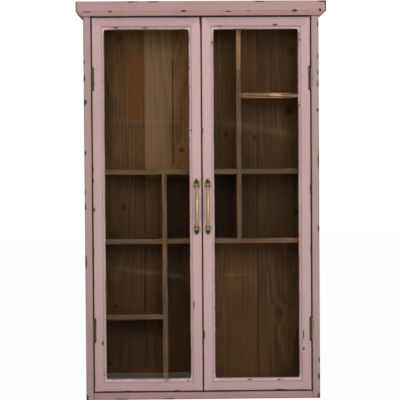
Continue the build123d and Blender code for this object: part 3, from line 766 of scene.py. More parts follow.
class FastenerNodes(Nodes):
    """Geometry nodes that put a screw or nail at each point, along the point's facing.

    recess is the number of bars in the drive recess: 0 for a nail, 1 for a slot and 2
    for a cross."""

    def __init__(self, name, recess):
        super().__init__(bpy.data.node_groups.new(name, "GeometryNodeTree"))
        self.socket("Places", "Geometry")
        for size_name in SIZE_INPUTS:
            self.socket(size_name, "Float").subtype = "DISTANCE"
        self.socket("Seed", "Int")
        self.socket("Finish", "Material")
        self.socket("Fasteners", "Geometry", "OUTPUT")
        self.given = self.node("NodeGroupInput").outputs
        self.size = {size_name: Number(self, self.given[size_name]) for size_name in SIZE_INPUTS}
        self.below_head = self.size["Head proud"] - self.size["Head height"]
        self.point = self.size["Shank radius"] * 2.2
        self.straight = self.size["Length"] + self.below_head - self.point
        parts = [self.head(recess), self.shank(), self.tip()]
        if recess:
            parts.append(self.thread())
        self.put_at_places(parts)

    def socket(self, name, kind, in_out="INPUT"):
        """Adds a named input or output to the tree."""
        return self.tree.interface.new_socket(
            name=name, in_out=in_out, socket_type=f"NodeSocket{kind}"
        )

    def moved(self, mesh, height, turn=(0, 0, 0)):
        """A mesh turned and then moved up."""
        place = self.node("ShaderNodeCombineXYZ", None, {"Z": height}).outputs[0]
        inputs = {"Geometry": mesh, "Translation": place, "Rotation": turn}
        return self.node("GeometryNodeTransform", None, inputs).outputs[0]

    def cone(self, top, base, depth, sides):
        inputs = {"Vertices": sides, "Radius Top": top, "Radius Bottom": base, "Depth": depth}
        return self.node("GeometryNodeMeshCone", None, inputs).outputs["Mesh"]

    def head(self, recess):
        """The head, with its slot or cross cut by bars."""
        size = self.size
        head = self.cone(
            size["Head radius"], size["Head base radius"], size["Head height"], HEAD_SIDES
        )
        head = self.moved(head, self.below_head)
        if not recess:
            return head
        bar_size = self.node(
            "ShaderNodeCombineXYZ",
            None,
            {"X": size["Recess length"], "Y": size["Recess width"], "Z": size["Recess depth"] * 2},
        )
        bar = self.node("GeometryNodeMeshCube", None, {"Size": bar_size.outputs[0]}).outputs[0]
        turns = [(0, 0, math.radians(90) * turn) for turn in range(recess)]
        bars = [self.moved(bar, size["Head proud"], turn) for turn in turns]
        cut = self.node(
            "GeometryNodeMeshBoolean", {"operation": "DIFFERENCE"}, {"Mesh 1": head, "Mesh 2": bars}
        )
        return cut.outputs[0]

    def shank(self):
        """The straight part of the shank."""
        radius = self.size["Shank radius"]
        shank = self.cone(radius, radius, self.straight, SHANK_SIDES)
        return self.moved(shank, self.below_head - self.straight)

    def tip(self):
        """The point below the straight part."""
        tip = self.cone(0.0, self.size["Shank radius"], self.point, SHANK_SIDES)
        return self.moved(tip, self.below_head - self.straight, (math.radians(180), 0, 0))

    def thread(self):
        """A three-sided ridge wound up the lower part of the shank."""
        radius = self.size["Shank radius"]
        threaded = self.straight * 0.7
        spiral = self.node(
            "GeometryNodeCurveSpiral",
            None,
            {
                "Resolution": 14,
                "Rotations": threaded / THREAD_PITCH,
                "Start Radius": radius,
                "End Radius": radius,
                "Height": threaded,
            },
        )
        profile = self.node(
            "GeometryNodeCurvePrimitiveCircle",
            {"mode": "RADIUS"},
            {"Resolution": 3, "Radius": self.size["Thread height"]},
        )
        ridge = self.node(
            "GeometryNodeCurveToMesh",
            None,
            {"Curve": spiral.outputs[0], "Profile Curve": profile.outputs[0], "Fill Caps": True},
        )
        return self.moved(ridge.outputs[0], self.below_head - self.straight)

    def put_at_places(self, parts):
        """Puts the joined parts at each place, turned to its facing and spun at random."""
        whole = self.node("GeometryNodeJoinGeometry", None, {0: parts}).outputs[0]
        facing = self.node(
            "GeometryNodeInputNamedAttribute", {"data_type": "FLOAT_VECTOR"}, {"Name": "facing"}
        ).outputs["Attribute"]
        aimed = self.node(
            "FunctionNodeAlignRotationToVector", {"axis": "Z"}, {"Vector": facing}
        ).outputs[0]
        angle = self.node(
            "FunctionNodeRandomValue",
            {"data_type": "FLOAT"},
            {2: 0.0, 3: math.tau, 8: self.given["Seed"]},
        ).outputs[1]
        spin = self.node(
            "FunctionNodeAxisAngleToRotation", None, {"Axis": (0, 0, 1), "Angle": angle}
        ).outputs[0]
        turned = self.node(
            "FunctionNodeRotateRotation",
            {"rotation_space": "LOCAL"},
            {"Rotation": aimed, "Rotate By": spin},
        ).outputs[0]
        placed = self.node(
            "GeometryNodeInstanceOnPoints",
            None,
            {"Points": self.given["Places"], "Instance": whole, "Rotation": turned},
        ).outputs[0]
        real = self.node("GeometryNodeRealizeInstances", None, {0: placed}).outputs[0]
        coated = self.node(
            "GeometryNodeSetMaterial", None, {"Geometry": real, "Material": self.given["Finish"]}
        ).outputs[0]
        self.node("NodeGroupOutput", None, {"Fasteners": coated})


def fasten(name, tree, places, sizes, body, nodes=()):
    """Makes one body's like fasteners with the tree, as a plain mesh that rides on the body.

    places are (point, facing), and nodes are the CAD nodes that the mesh stands for."""
    scene = bpy.context.scene
    points = bpy.data.meshes.new(name)
    points.from_pydata([place for place, facing in places], [], [])
    attribute = points.attributes.new("facing", "FLOAT_VECTOR", "POINT")
    attribute.data.foreach_set("vector", [c for place, facing in places for c in facing])
    piece = bpy.data.objects.new(name, points)
    scene.collection.objects.link(piece)
    modifier = piece.modifiers.new("Fasteners", "NODES")
    modifier.node_group = tree
    values = {**sizes, "Seed": scene.cabinet_fasteners.seed, "Finish": plated()}
    for socket in tree.interface.items_tree:
        if socket.in_out == "INPUT" and socket.name in values:
            modifier[socket.identifier] = values[socket.name]
    depsgraph = bpy.context.evaluated_depsgraph_get()
    made = bpy.data.meshes.new_from_object(piece.evaluated_get(depsgraph), depsgraph=depsgraph)
    piece.modifiers.clear()
    piece.data = made
    bpy.data.meshes.remove(points)
    made.name = name
    made.shade_smooth()
    made.set_sharp_from_angle(angle=math.radians(35))
    if not made.polygons:
        raise RuntimeError(f"{name} came out empty")
    if nodes:
        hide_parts(*nodes)
    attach(piece, body)


# Metal and glass


def metal(name, colour, dark, hollows, roughness, patina, shine=1.0, coat=None):
    """Metal with rubbed high places and dull hollows; hollows gives patina, and on the hinges and the
    handles' bows painted shade too.

    shine is how metallic its high places are, and coat a share and colour of paint."""
    finish = Finish(name)
    edge, rounded = finish.edges(0.4 * MM, 4)
    cloud = finish.noise((260, 260, 260), 3.0, 0.6)
    grit = finish.noise((1600, 1600, 1600), 2.0, 0.6)
    shade = (hollows(finish) + (cloud - 0.5) * patina).least(1.0).most(0.0)
    shade = (shade - edge.rise(0.2, 0.9) * 0.4).most(0.0)
    body = finish.blend(shade, colour, dark)
    bare = shine - shade * 0.35
    if coat is not None:
        share = coat[0](finish)
        body = finish.blend(share, body, coat[1])
        bare = bare * (1 - share)
    return finish.surface(
        {
            "Base Color": body,
            "Metallic": bare,
            "Roughness": shade * 0.3 + (grit - 0.5) * 0.1 + roughness,
            "Normal": finish.bump(grit * 0.4 + cloud * 0.6, 0.05 * MM, rounded),
        }
    )


def plated():
    """Zinc-plated steel, made once and shared."""
    found = bpy.data.materials.get("Plated_steel")
    if found is not None:
        return found
    colour = bpy.context.scene.cabinet_metal.steel
    return metal(
        "Plated_steel", colour, at_level(colour, 0.45), lambda finish: 0.1,
        roughness=0.32, patina=0.6,
    )


# Streaks of painted reflection that glow faintly on the glass: from and to as (x, z), and half width
PAINTED_GLASS_REFLECTIONS = [
    ((-0.19, 0.563), (-0.02, 0.558), 0.006), ((0.02, 0.563), (0.2, 0.531), 0.012),
    ((-0.19, 0.268), (-0.02, 0.246), 0.008), ((0.02, 0.251), (0.11, 0.254), 0.005),
]


def wipe_marks(finish, dust_and_reflection_noise):
    """How strong the glowing streaks of painted reflection are, from 0 to 1."""
    marks = []
    for (from_x, from_z), (to_x, to_z), half in PAINTED_GLASS_REFLECTIONS:
        slope = (to_z - from_z) / (to_x - from_x)
        away = abs(finish.z - from_z - (finish.x - from_x) * slope + (dust_and_reflection_noise - 0.5) * 0.02)
        ends = finish.x.rise(from_x, from_x + 0.04) * finish.x.rise(to_x, to_x - 0.04)
        marks.append(away.rise(half, 0.0) * ends * dust_and_reflection_noise.rise(0.3, 0.6))
    return strongest(marks)


def clear_glass(colour):
    """Thin clear glass with a faint film of dust in its roughness and faintly glowing streaks of
    painted reflection; lamps shine through it.
    """
    finish = Finish("Glass")
    dust_and_reflection_noise = finish.noise((9, 9, 22), 4.0, 0.65)
    pane = finish.node(
        "ShaderNodeBsdfPrincipled",
        None,
        {
            "Base Color": colour,
            "Roughness": dust_and_reflection_noise.rise(0.5, 0.8) * 0.05,
            "IOR": 1.5,
            "Transmission Weight": 1.0,
            # Emission draws the streaks of painted reflection
            "Emission Color": finish.scaled(tone(190, 190, 175), wipe_marks(finish, dust_and_reflection_noise)),
            "Emission Strength": 0.017,
        },
    )
    clear = finish.node("ShaderNodeBsdfTransparent", None, {"Color": colour})
    lamp = finish.node("ShaderNodeLightPath").outputs["Is Shadow Ray"]
    return finish.ended(finish.mixed_shaders(lamp, pane, clear))


# Pieces, one operator for each group of like pieces


CASE_BOARDS = {
    "side_left": "z", "side_right": "z", "bottom_board": "x", "top_board": "x", "head_rail": "x",
    "cornice_front": "x", "cornice_left": "y", "cornice_right": "y",
}
DOOR_MEMBERS = {
    "bottom_rail": "x", "top_rail": "x", "hinge_stile": "z", "meeting_stile": "z",
    "glazing_strips": "z",
}


# Chips of the paint at the front: x, z, half width and half height in millimetres
CASE_CHIPS = {
    "x": [
        (-138, 799, 10.4, 1.6), (-96, 799, 11.7, 1.6), (117, 799, 11.7, 1.6), (243, 799, 7.8, 2.2),
        (250, 789, 1.8, 10.8), (-182, 780, 3.9, 2.2), (-228, 779, 6.5, 1.1), (-36, 780, 5.2, 1.6),
        (54, 779, 6.5, 1.2), (96, 780, 3.9, 0.9), (187, 780, 5.2, 2.3), (238, 781, 3.1, 2.4),
        (-165, 1, 13, 1.9), (-69, 1, 9.1, 1.8),
    ],
    "z": [
        (-236, 680, 2.7, 5), (-236, 648, 3.7, 6.2), (-235, 600, 5.1, 6.2), (-236, 497, 3.7, 5),
        (-236, 419, 2.7, 3.8), (-236, 391, 3.4, 6.2), (-236, 281, 3.4, 15), (-236, 5, 5.1, 7.5),
        (236, 754, 2.7, 5), (236, 688, 3.4, 5), (236, 658, 3.1, 5), (236, 634, 4.1, 6.2),
        (236, 581, 5.1, 3.8), (236, 480, 3.1, 17.5), (236, 342, 3.4, 6.2), (236, 77, 3.4, 5),
        (236, 44, 4.1, 6.2), (236, 3, 5.8, 7.5),
    ],
}
DOOR_CHIPS = {
    "x": [
        (-171, 748, 6.5, 2.2), (-112, 748, 9.1, 1.9), (38, 751, 6.5, 0.9), (149, 753, 5.2, 1.6),
        (-74, 38, 6.5, 1.8), (-31, 39, 3.9, 2.4), (94, 38, 5.2, 1.9), (156, 38, 6.5, 1.8),
        (-151, 17, 7.8, 2), (-53, 17, 6.5, 1.9), (155, 17, 9.1, 2.2), (-1, 766, 3.9, 5.4),
    ],
    "z": [
        (-24, 725, 1.7, 6.8), (-24, 665, 1.7, 5.4), (-23, 630, 1.6, 4.1), (-22, 541, 1.6, 6.8),
        (-18, 191, 0.9, 9.5), (-202, 115, 1.8, 4.6), (-199, 51, 1.6, 2.7), (23, 719, 2, 8.1),
        (197, 736, 1.8, 3.5), (198, 723, 2.3, 3), (196, 593, 2.6, 8.1), (203, 129, 1, 9.5),
        (203, 100, 2, 2.7), (-219, 465, 1.4, 6), (-218, 442, 1.2, 4), (-217, 384, 2.4, 4),
        (-219, 298, 1.4, 7), (219, 425, 1.8, 12), (219, 300, 1.8, 12), (-1, 761, 2.6, 8),
        (1, 541, 2, 6.8), (2, 130, 2, 8.1),
    ],
}


def stain_tones(timber_settings):
    """The stain's dark, middle, light and warm tone."""
    names = ("stain_dark", "stain_middle", "stain_light", "stain_warm")
    return [getattr(timber_settings, name) for name in names]


class CABINET_OT_paint_case(bpy.types.Operator):
    """Paint the case and the cornice, and stain the case inside"""

    bl_idname = "cabinet.paint_case"
    bl_label = "Paint the case"

    def execute(self, context):
        paint = context.scene.cabinet_paint
        settings = context.scene.cabinet_timber
        inside = {
            "log": (0.02, 0.09, 0.4, 0.05, settings.ring),
            "tones": stain_tones(settings),
            "share": stained_inside,
        }
        finishes = {}
        for axis in "xyz":
            colour = paint.side_colour if axis == "z" else paint.case_colour
            finishes[axis] = painted(
                f"Carcass_paint_{axis}", colour, paint, axis, CASE_CHIPS.get(axis, ()),
                case_level, case_reveal, inside,
            )
        for node, axis in CASE_BOARDS.items():
            dress(node, finishes[axis])
        return {"FINISHED"}


class CABINET_OT_paint_doors(bpy.types.Operator):
    """Paint the stiles, rails and glazing strips of both doors"""

    bl_idname = "cabinet.paint_doors"
    bl_label = "Paint the doors"

    def execute(self, context):
        paint = context.scene.cabinet_paint
        finishes = {
            axis: painted(
                f"Door_paint_{axis}", paint.door_colour, paint, axis, DOOR_CHIPS[axis],
                door_level, door_reveal, joints=door_joints, pale=door_pale,
            )
            for axis in "xz"
        }
        for member, axis in DOOR_MEMBERS.items():
            dress_pairs(finishes[axis], "door_{}_" + member)
        return {"FINISHED"}


# The dark tone gives two narrow dark lines and, mostly, painted shade in the bays that the shelves and
# the doors' frames keep in shadow
DARK_STAIN_AND_SHADE = tone(20, 10, 3)
ORANGE_STAIN = tone(104, 60, 20)
GREY_STAIN = tone(124, 108, 86)
# Each back board: where the pith lay (across, behind), where the arches end, taper,
# ring width and level against the common ones, knots as (x, z, radius, how pale inside),
# and patches as (low corner, high corner, colour, share): of stain, and of painted shade in the bays
BACK_LOOKS = {
    1: {
        "log": (-0.185, 0.075, 0.52, 0.055),
        "ring": 1.0,
        "level": 0.74,
        "knots": [
            (-0.1655, 0.7338, 0.007, 0.3), (-0.1592, 0.3859, 0.005, 0.0),
            (-0.1775, 0.1813, 0.004, 0.0), (-0.1899, 0.0631, 0.005, 0.0),
        ],
        "patches": [
            ((-0.152, 0.575), (-0.110, 0.705), ORANGE_STAIN, 0.5),
            ((-0.205, 0.46), (-0.184, 0.76), DARK_STAIN_AND_SHADE, 0.25),
            ((-0.24, 0.0), (-0.11, 0.452), DARK_STAIN_AND_SHADE, 0.36),
            ((-0.24, 0.0), (-0.11, 0.158), DARK_STAIN_AND_SHADE, 0.15),
        ],
    },
    2: {
        "log": (-0.050, 0.085, 0.90, 0.035),
        "ring": 1.1,
        "level": 1.28,
        "knots": [(-0.0397, 0.5027, 0.005, 0.0)],
        "patches": [
            ((-0.125, 0.46), (-0.057, 0.76), GREY_STAIN, 0.3),
            ((-0.125, 0.0), (-0.074, 0.452), DARK_STAIN_AND_SHADE, 0.5),
            ((-0.074, 0.315), (0.01, 0.452), DARK_STAIN_AND_SHADE, 0.88),
            ((-0.074, 0.0), (0.01, 0.315), DARK_STAIN_AND_SHADE, 0.7),
            ((-0.0584, 0.47), (-0.0556, 0.690), DARK_STAIN_AND_SHADE, 0.75),
        ],
    },
    3: {
        "log": (0.030, 0.070, 0.10, 0.050),
        "ring": 0.9,
        "level": 0.67,
        "knots": [(0.0523, 0.534, 0.005, 0.0), (0.1118, 0.5264, 0.005, 0.0)],
        "patches": [
            ((-0.01, 0.315), (0.071, 0.452), DARK_STAIN_AND_SHADE, 0.8),
            ((0.071, 0.315), (0.125, 0.452), DARK_STAIN_AND_SHADE, 0.4),
            ((0.071, 0.46), (0.125, 0.6), DARK_STAIN_AND_SHADE, 0.2),
        ],
    },
    4: {
        "log": (0.170, 0.080, 0.30, 0.045),
        "ring": 1.0,
        "level": 0.63,
        "knots": [
            (0.1876, 0.7041, 0.008, 0.5), (0.182, 0.5816, 0.007, 0.2),
            (0.1592, 0.1636, 0.009, 0.2), (0.196, 0.3749, 0.005, 0.0),
        ],
        "patches": [
            ((0.11, 0.315), (0.24, 0.452), DARK_STAIN_AND_SHADE, 0.4),
            ((0.11, 0.46), (0.24, 0.6), DARK_STAIN_AND_SHADE, 0.2),
            ((0.118, 0.629), (0.130, 0.727), DARK_STAIN_AND_SHADE, 0.3),
        ],
    },
}


class CABINET_OT_stain_back(bpy.types.Operator):
    """Stain the back boards and the stop batten"""

    bl_idname = "cabinet.stain_back"
    bl_label = "Stain the back"

    def execute(self, context):
        settings = context.scene.cabinet_timber
        tones = stain_tones(settings)
        for number, look in BACK_LOOKS.items():
            log = (*look["log"], settings.ring * look["ring"])
            board_tones = [at_level(colour, look["level"]) for colour in tones]
            finish = stained(
                f"Back_stain_{number}", "z", log, board_tones, look["knots"], look["patches"]
            )
            dress(f"back_board_{number}", finish)
        log = (-0.02, 0.05, 0.2, 0.03, settings.ring)
        dress("stop_batten", stained("Batten_stain", "x", log, tones))
        return {"FINISHED"}


# Places on the front edges that are rubbed to pale timber or soiled, and a painted highlight
# where warm light falls on the short right shelf and the right upright: low and high corner,
# how light against rubbed timber, and share
RUBBED_AND_LIT_PATCHES = {
    "x": [
        # Painted highlight along the short right shelf's front edge
        ((0.085, 0.6), (0.205, 0.62), 1.0, 0.64), ((0.138, 0.605), (0.166, 0.62), 1.6, 0.9),
        ((0.085, 0.44), (0.225, 0.47), 0.14, 0.6), ((0.085, 0.31), (0.225, 0.33), 0.5, 0.4),
    ],
    # First: painted highlight on the right upright's upper front edge
    "z": [((0.066, 0.662), (0.086, 0.76), 1.0, 0.42), ((-0.09, 0.02), (-0.06, 0.46), 0.5, 0.35)],
}
SHELVES = {
    "x": ["shelf_upper", "shelf_lower", "shelf_short_left", "shelf_short_right"],
    "z": ["upright_left", "upright_right"],
}


class CABINET_OT_stain_shelves(bpy.types.Operator):
    """Stain the shelves and uprights, with sanded front edges"""

    bl_idname = "cabinet.stain_shelves"
    bl_label = "Stain the shelves"

    def execute(self, context):
        settings = context.scene.cabinet_timber
        tones = stain_tones(settings)
        for axis, nodes in SHELVES.items():
            finish = Finish(f"Shelf_stain_{axis}")
            log = (0.01, 0.03, 0.1, 0.04, settings.ring * 0.8)
            colour, height = timber(finish, axis, log, tones)
            colour = finish.scaled(colour, 0.6)
            edge = finish.y.rise(shelf_front + 1.6 * MM, shelf_front + 0.6 * MM)
            rubbed = finish.noise(rates_along(axis, 420, 14), 3.0, 0.6)
            sanded = finish.scaled(settings.sanded, (rubbed - 0.5) * 1.6 + 0.9)
            colour = finish.blend(edge * 0.8, colour, sanded)
            arris, rounded = finish.edges(2 * MM)
            pale = arris.rise(0.15, 0.7) * rubbed.rise(0.35, 0.6) * edge * 0.5
            colour = finish.blend(pale, colour, settings.rubbed)
            for low, high, level, share in RUBBED_AND_LIT_PATCHES[axis]:
                patch = box_share(finish, low, high, 5 * MM) * edge * rubbed.rise(0.38, 0.6)
                colour = finish.blend(patch * share, colour, at_level(settings.rubbed, level))
            material = finish.surface(
                {
                    "Base Color": colour,
                    "Roughness": 0.6 + height * 0.15,
                    "Specular IOR Level": 0.1,
                    "Normal": finish.bump(height, GRAIN_DEPTH, rounded),
                }
            )
            for node in nodes:
                dress(node, material)
        return {"FINISHED"}


class CABINET_OT_finish_joints(bpy.types.Operator):
    """Leave the dowels and loose tongues as bare timber"""

    bl_idname = "cabinet.finish_joints"
    bl_label = "Finish the joints"

    def execute(self, context):
        bare = context.scene.cabinet_timber.bare
        tones = [at_level(bare, level) for level in (0.7, 0.9, 1.1, 1.0)]
        log = (0.0, 0.05, 0.0, 0.02, 1.4 * MM)
        finish = stained("Bare_timber", "x", log, tones)
        dress("carcass_dowels", finish)
        dress_pairs(finish, "door_{}_mitre_keys")
        return {"FINISHED"}


class CABINET_OT_glaze(bpy.types.Operator):
    """Glaze both doors"""

    bl_idname = "cabinet.glaze"
    bl_label = "Glaze the doors"

    def execute(self, context):
        dress_pairs(clear_glass(context.scene.cabinet_metal.glass), "door_{}_glass")
        return {"FINISHED"}


class CABINET_OT_finish_handles(bpy.types.Operator):
    """Give the bow handles their rubbed brass"""

    bl_idname = "cabinet.finish_handles"
    bl_label = "Finish the handles"

    def execute(self, context):
        settings = context.scene.cabinet_metal
        low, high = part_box("door_right_handle")
        axis_x = (low.x + high.x) / 2
        half = (high.x - low.x) / 2

        def hollows(finish):
            """Dark patina in the plates' recesses, and painted shade down the flanks of the bows."""
            crevice = finish.node(
                "ShaderNodeAmbientOcclusion", {"samples": 8, "only_local": True}, {"Distance": 3 * MM}
            )
            closed = Number(finish, crevice.outputs["AO"]).rise(0.6, 0.3) * 0.5
            sunk = finish.y.rise(case_front - 1.9 * MM, case_front - 1.3 * MM)
            # Painted shade down the flanks of the bows
            flank_shade = abs(abs(finish.x) - axis_x).rise(1.2 * MM, 3.4 * MM)
            bow = finish.y.rise(case_front - 3 * MM, case_front - 5 * MM)
            inset = abs(abs(finish.x) - axis_x).rise(half - 1.8 * MM, half - 4.2 * MM)
            return closed.most(sunk * inset).most(flank_shade * bow * 0.6)

        brass = metal(
            "Antique_brass", settings.brass, settings.brass_dark, hollows,
            roughness=0.26, patina=0.5, shine=0.5,
        )
        dress_pairs(brass, "door_{}_handle", "catch_cup_{}")
        return {"FINISHED"}


class CABINET_OT_finish_hinges(bpy.types.Operator):
    """Brown the hinges and their pins"""

    bl_idname = "cabinet.finish_hinges"
    bl_label = "Finish the hinges"

    def execute(self, context):
        colour = context.scene.cabinet_metal.hinge

        def grimy(finish):
            """Painted shade on the side of the knuckle next to the case, deep in the gap."""
            beside = abs(finish.x).rise(inner_side - 2.8 * MM, inner_side - 2.2 * MM)
            return beside * near_front(finish) * 0.7 + 0.3

        def brushed_over(finish):
            """1 where the paint of the case runs on over the edge of a leaf."""
            return abs(finish.x).rise(inner_side - 0.6 * MM, inner_side - 0.2 * MM)

        browned = metal(
            "Hinge_metal", colour, at_level(colour, 0.2), grimy,
            roughness=0.42, patina=0.9, shine=0.7,
            coat=(brushed_over, context.scene.cabinet_paint.side_colour),
        )
        dress_pairs(browned, "frame_hinge_leaves_{}", "door_{}_hinge_leaves", "hinge_pins_{}")
        return {"FINISHED"}


class CABINET_OT_finish_catches(bpy.types.Operator):
    """Finish the magnets, the strikes and the hangers"""

    bl_idname = "cabinet.finish_catches"
    bl_label = "Finish the catches"

    def execute(self, context):
        colour = context.scene.cabinet_metal.magnet
        grey = metal(
            "Magnet", colour, at_level(colour, 0.5), lambda finish: 0.2, roughness=0.5, patina=0.4
        )
        dress_pairs(grey, "catch_magnet_{}")
        dress_pairs(plated(), "door_{}_strike", "hanger_{}")
        return {"FINISHED"}


def countersunk(radius):
    """Sizes of a countersunk screw whose head has this radius."""
    shank = 1.4 * MM
    return {
        "Head radius": radius,
        "Head base radius": shank,
        "Head height": radius - shank,
        "Shank radius": shank,
        "Recess length": radius * 1.15,
        "Thread height": 0.3 * MM,
    }


def flat_headed(radius):
    """Sizes of a handle's screw, whose head stands on the rear of the door."""
    return {
        "Head radius": radius * 0.86,
        "Head base radius": radius,
        "Head height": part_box("door_left_handle_screws")[1].y - door_rear,
        "Shank radius": 1.7 * MM,
        "Recess length": radius * 2.4,
        "Thread height": 0.2 * MM,
    }


def nail_sizes(head, height, proud, shank, length):
    """Sizes of a plain nail."""
    return {
        "Head radius": head * 0.82,
        "Head base radius": head,
        "Head height": height,
        "Head proud": proud,
        "Shank radius": shank,
        "Length": length,
    }


def drive(name, tree, node, sizes_for):
    """Puts screws where a CAD node has plain ones; sizes_for gives their sizes from a radius."""
    screws = [screw_in(points) for points in separate_solids(node)]
    length, radius = screws[0][2:]
    settings = bpy.context.scene.cabinet_fasteners
    sizes = {
        **sizes_for(radius),
        "Length": length,
        "Recess width": settings.recess_width,
        "Recess depth": settings.recess_depth,
    }
    fasten(name, tree, [screw[:2] for screw in screws], sizes, body_of(node), [node])


class CABINET_OT_drive_screws(bpy.types.Operator):
    """Make the screws of the hinges, hangers and handles with their drive recesses"""

    bl_idname = "cabinet.drive_screws"
    bl_label = "Drive the screws"

    def execute(self, context):
        crossed = FastenerNodes("Crossed_screws", 2).tree
        slotted = FastenerNodes("Slotted_screws", 1).tree
        drive("screws_frame_hinges", crossed, "frame_hinge_screws", countersunk)
        drive("screws_hangers", crossed, "hanger_screws", countersunk)
        for side in SIDES:
            hinge_screws = f"door_{side}_hinge_screws"
            drive(f"screws_door_{side}_hinges", crossed, hinge_screws, countersunk)
        for side in SIDES:
            drive(f"screws_{side}_handle", slotted, f"door_{side}_handle_screws", flat_headed)
        return {"FINISHED"}


def middle_height(node):
    low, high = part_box(node)
    return (low.z + high.z) / 2


def back_nail_places():
    """Nails through the back boards into the case and the long shelves."""
    rows = [middle_height(node) for node in ("bottom_board", "shelf_lower", "shelf_upper")]
    rows.append(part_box("back_board_1")[1].z - 4 * MM)
    outward = (0, 1, 0)
    places = []
    for number in BACK_LOOKS:
        low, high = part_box(f"back_board_{number}")
        for row, height in enumerate(rows):
            for column, x in enumerate((low.x + 22 * MM, high.x - 24 * MM)):
                nudge = 1.4 * MM * math.sin(5.1 * number + 3.7 * row + 2.3 * column)
                places.append(((x + nudge, boards_rear, height + nudge / 2), outward))
    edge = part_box("back_board_4")[1].x - 4 * MM
    count = 6
    low_z, high_z = rows[0] + 60 * MM, rows[-1] - 60 * MM
    for hand in SIDES.values():
        for index in range(count):
            height = low_z + (high_z - low_z) * index / (count - 1)
            places.append(((hand * edge, boards_rear, height), outward))
    return places


def brad_places(node, pitch):
    """Brads spread along each of a door's glazing strips, the uprights first."""
    low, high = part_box(node)
    inset = 1.7 * MM
    from_end = 18 * MM
    places = []
    for across, along in ((0, 2), (2, 0)):
        run = high[along] - low[along] - 2 * from_end
        steps = max(1, round(run / pitch))
        for fixed in (low[across] + inset, high[across] - inset):
            for step in range(steps + 1):
                place = [0, high.y, 0]
                place[across] = fixed
                place[along] = low[along] + from_end + run * step / steps
                places.append((place, (0, 1, 0)))
    return places


class CABINET_OT_drive_nails(bpy.types.Operator):
    """Nail the back boards to the case, and the glazing strips to the doors"""

    bl_idname = "cabinet.drive_nails"
    bl_label = "Drive the nails"

    def execute(self, context):
        settings = context.scene.cabinet_fasteners
        nails = FastenerNodes("Nails", 0).tree
        sizes = nail_sizes(
            settings.nail_head, height=0.8 * MM, proud=0.35 * MM, shank=0.8 * MM, length=22 * MM
        )
        fasten("nails_back", nails, back_nail_places(), sizes, body_of("back_board_1"))
        sizes = nail_sizes(
            settings.brad_head, height=0.5 * MM, proud=0.1 * MM, shank=0.5 * MM, length=9 * MM
        )
        for side in SIDES:
            node = f"door_{side}_glazing_strips"
            places = brad_places(node, settings.brad_pitch)
            fasten(f"brads_door_{side}", nails, places, sizes, body_of(node))
        return {"FINISHED"}


# Studio


def area_light(name, place, aim, width, height, power, lights=True, mirrored=False):
    """A soft rectangular lamp turned towards a point.

    lights tells if it lights plain surfaces, and mirrored if gloss shows it."""
    data = bpy.data.lights.new(name, "AREA")
    data.shape = "RECTANGLE"
    data.size = width
    data.size_y = height
    data.energy = power
    lamp = bpy.data.objects.new(name, data)
    bpy.context.scene.collection.objects.link(lamp)
    lamp.location = place
    lamp.rotation_euler = (Vector(aim) - Vector(place)).to_track_quat("-Z", "Y").to_euler()
    lamp.visible_camera = False
    lamp.visible_diffuse = lights
    lamp.visible_glossy = mirrored


def straight_view(nodes):
    """1 for what the camera sees directly or only through glass."""
    rays = nodes.node("ShaderNodeLightPath").outputs
    turned = Number(nodes, rays["Diffuse Depth"]) + Number(nodes, rays["Glossy Depth"])
    through = Number(nodes, rays["Is Transmission Ray"]) * (1 - turned.least(1.0))
    return Number(nodes, rays["Is Camera Ray"]).most(through)


def white_surround(strength):
    """A world that lights evenly, shows white to the camera and is dim behind the camera."""
    world = bpy.data.worlds.new("Surround")
    bpy.context.scene.world = world
    world.use_nodes = True
    world.node_tree.nodes.clear()
    nodes = Nodes(world.node_tree)
    direction = nodes.node("ShaderNodeTexCoord").outputs["Generated"]
    split = nodes.node("ShaderNodeSeparateXYZ", None, {0: direction})
    ahead, upward = Number(nodes, split.outputs["Y"]), Number(nodes, split.outputs["Z"])
    seen = straight_view(nodes)
    glossy = Number(nodes, nodes.node("ShaderNodeLightPath").outputs["Is Glossy Ray"])
    mirrored = glossy * ahead.rise(-0.25, 0.35)
    level = (upward * 0.4 + 1.0) * strength * (1 - glossy * ahead.rise(-0.9, -0.98) * 0.98)
    dim = nodes.node("ShaderNodeBackground", None, {"Color": (1, 1, 1), "Strength": level})
    white = nodes.node("ShaderNodeBackground", None, {"Color": (1, 1, 1), "Strength": 1.0})
    mixed = nodes.mixed_shaders(seen.most(mirrored), dim, white)
    nodes.node("ShaderNodeOutputWorld", None, {"Surface": mixed})


def studio_floor(studio):
    """A pale floor that keeps a faint shadow, with its front edge further back on the right."""
    mesh = bpy.data.meshes.new("studio_floor")
    left_edge = case_front - studio.floor_reach
    right_edge = left_edge + studio.floor_step
    outline = [(-6, left_edge), (0, left_edge), (0, right_edge), (6, right_edge), (6, 6), (-6, 6)]
    mesh.from_pydata([(x, y, 0) for x, y in outline], [], [tuple(range(len(outline)))])
    floor = bpy.data.objects.new("studio_floor", mesh)
    bpy.context.scene.collection.objects.link(floor)
    finish = Finish("Studio_floor")
    matt = finish.node(
        "ShaderNodeBsdfPrincipled",
        None,
        {"Base Color": tone(214, 214, 214), "Roughness": 0.35, "Specular IOR Level": 0.3},
    )
    glow = finish.node("ShaderNodeEmission", None, {"Color": (1, 1, 1), "Strength": 1.0})
    mixed = finish.mixed_shaders(straight_view(finish) * 0.975, matt, glow)
    mesh.materials.append(finish.ended(mixed))


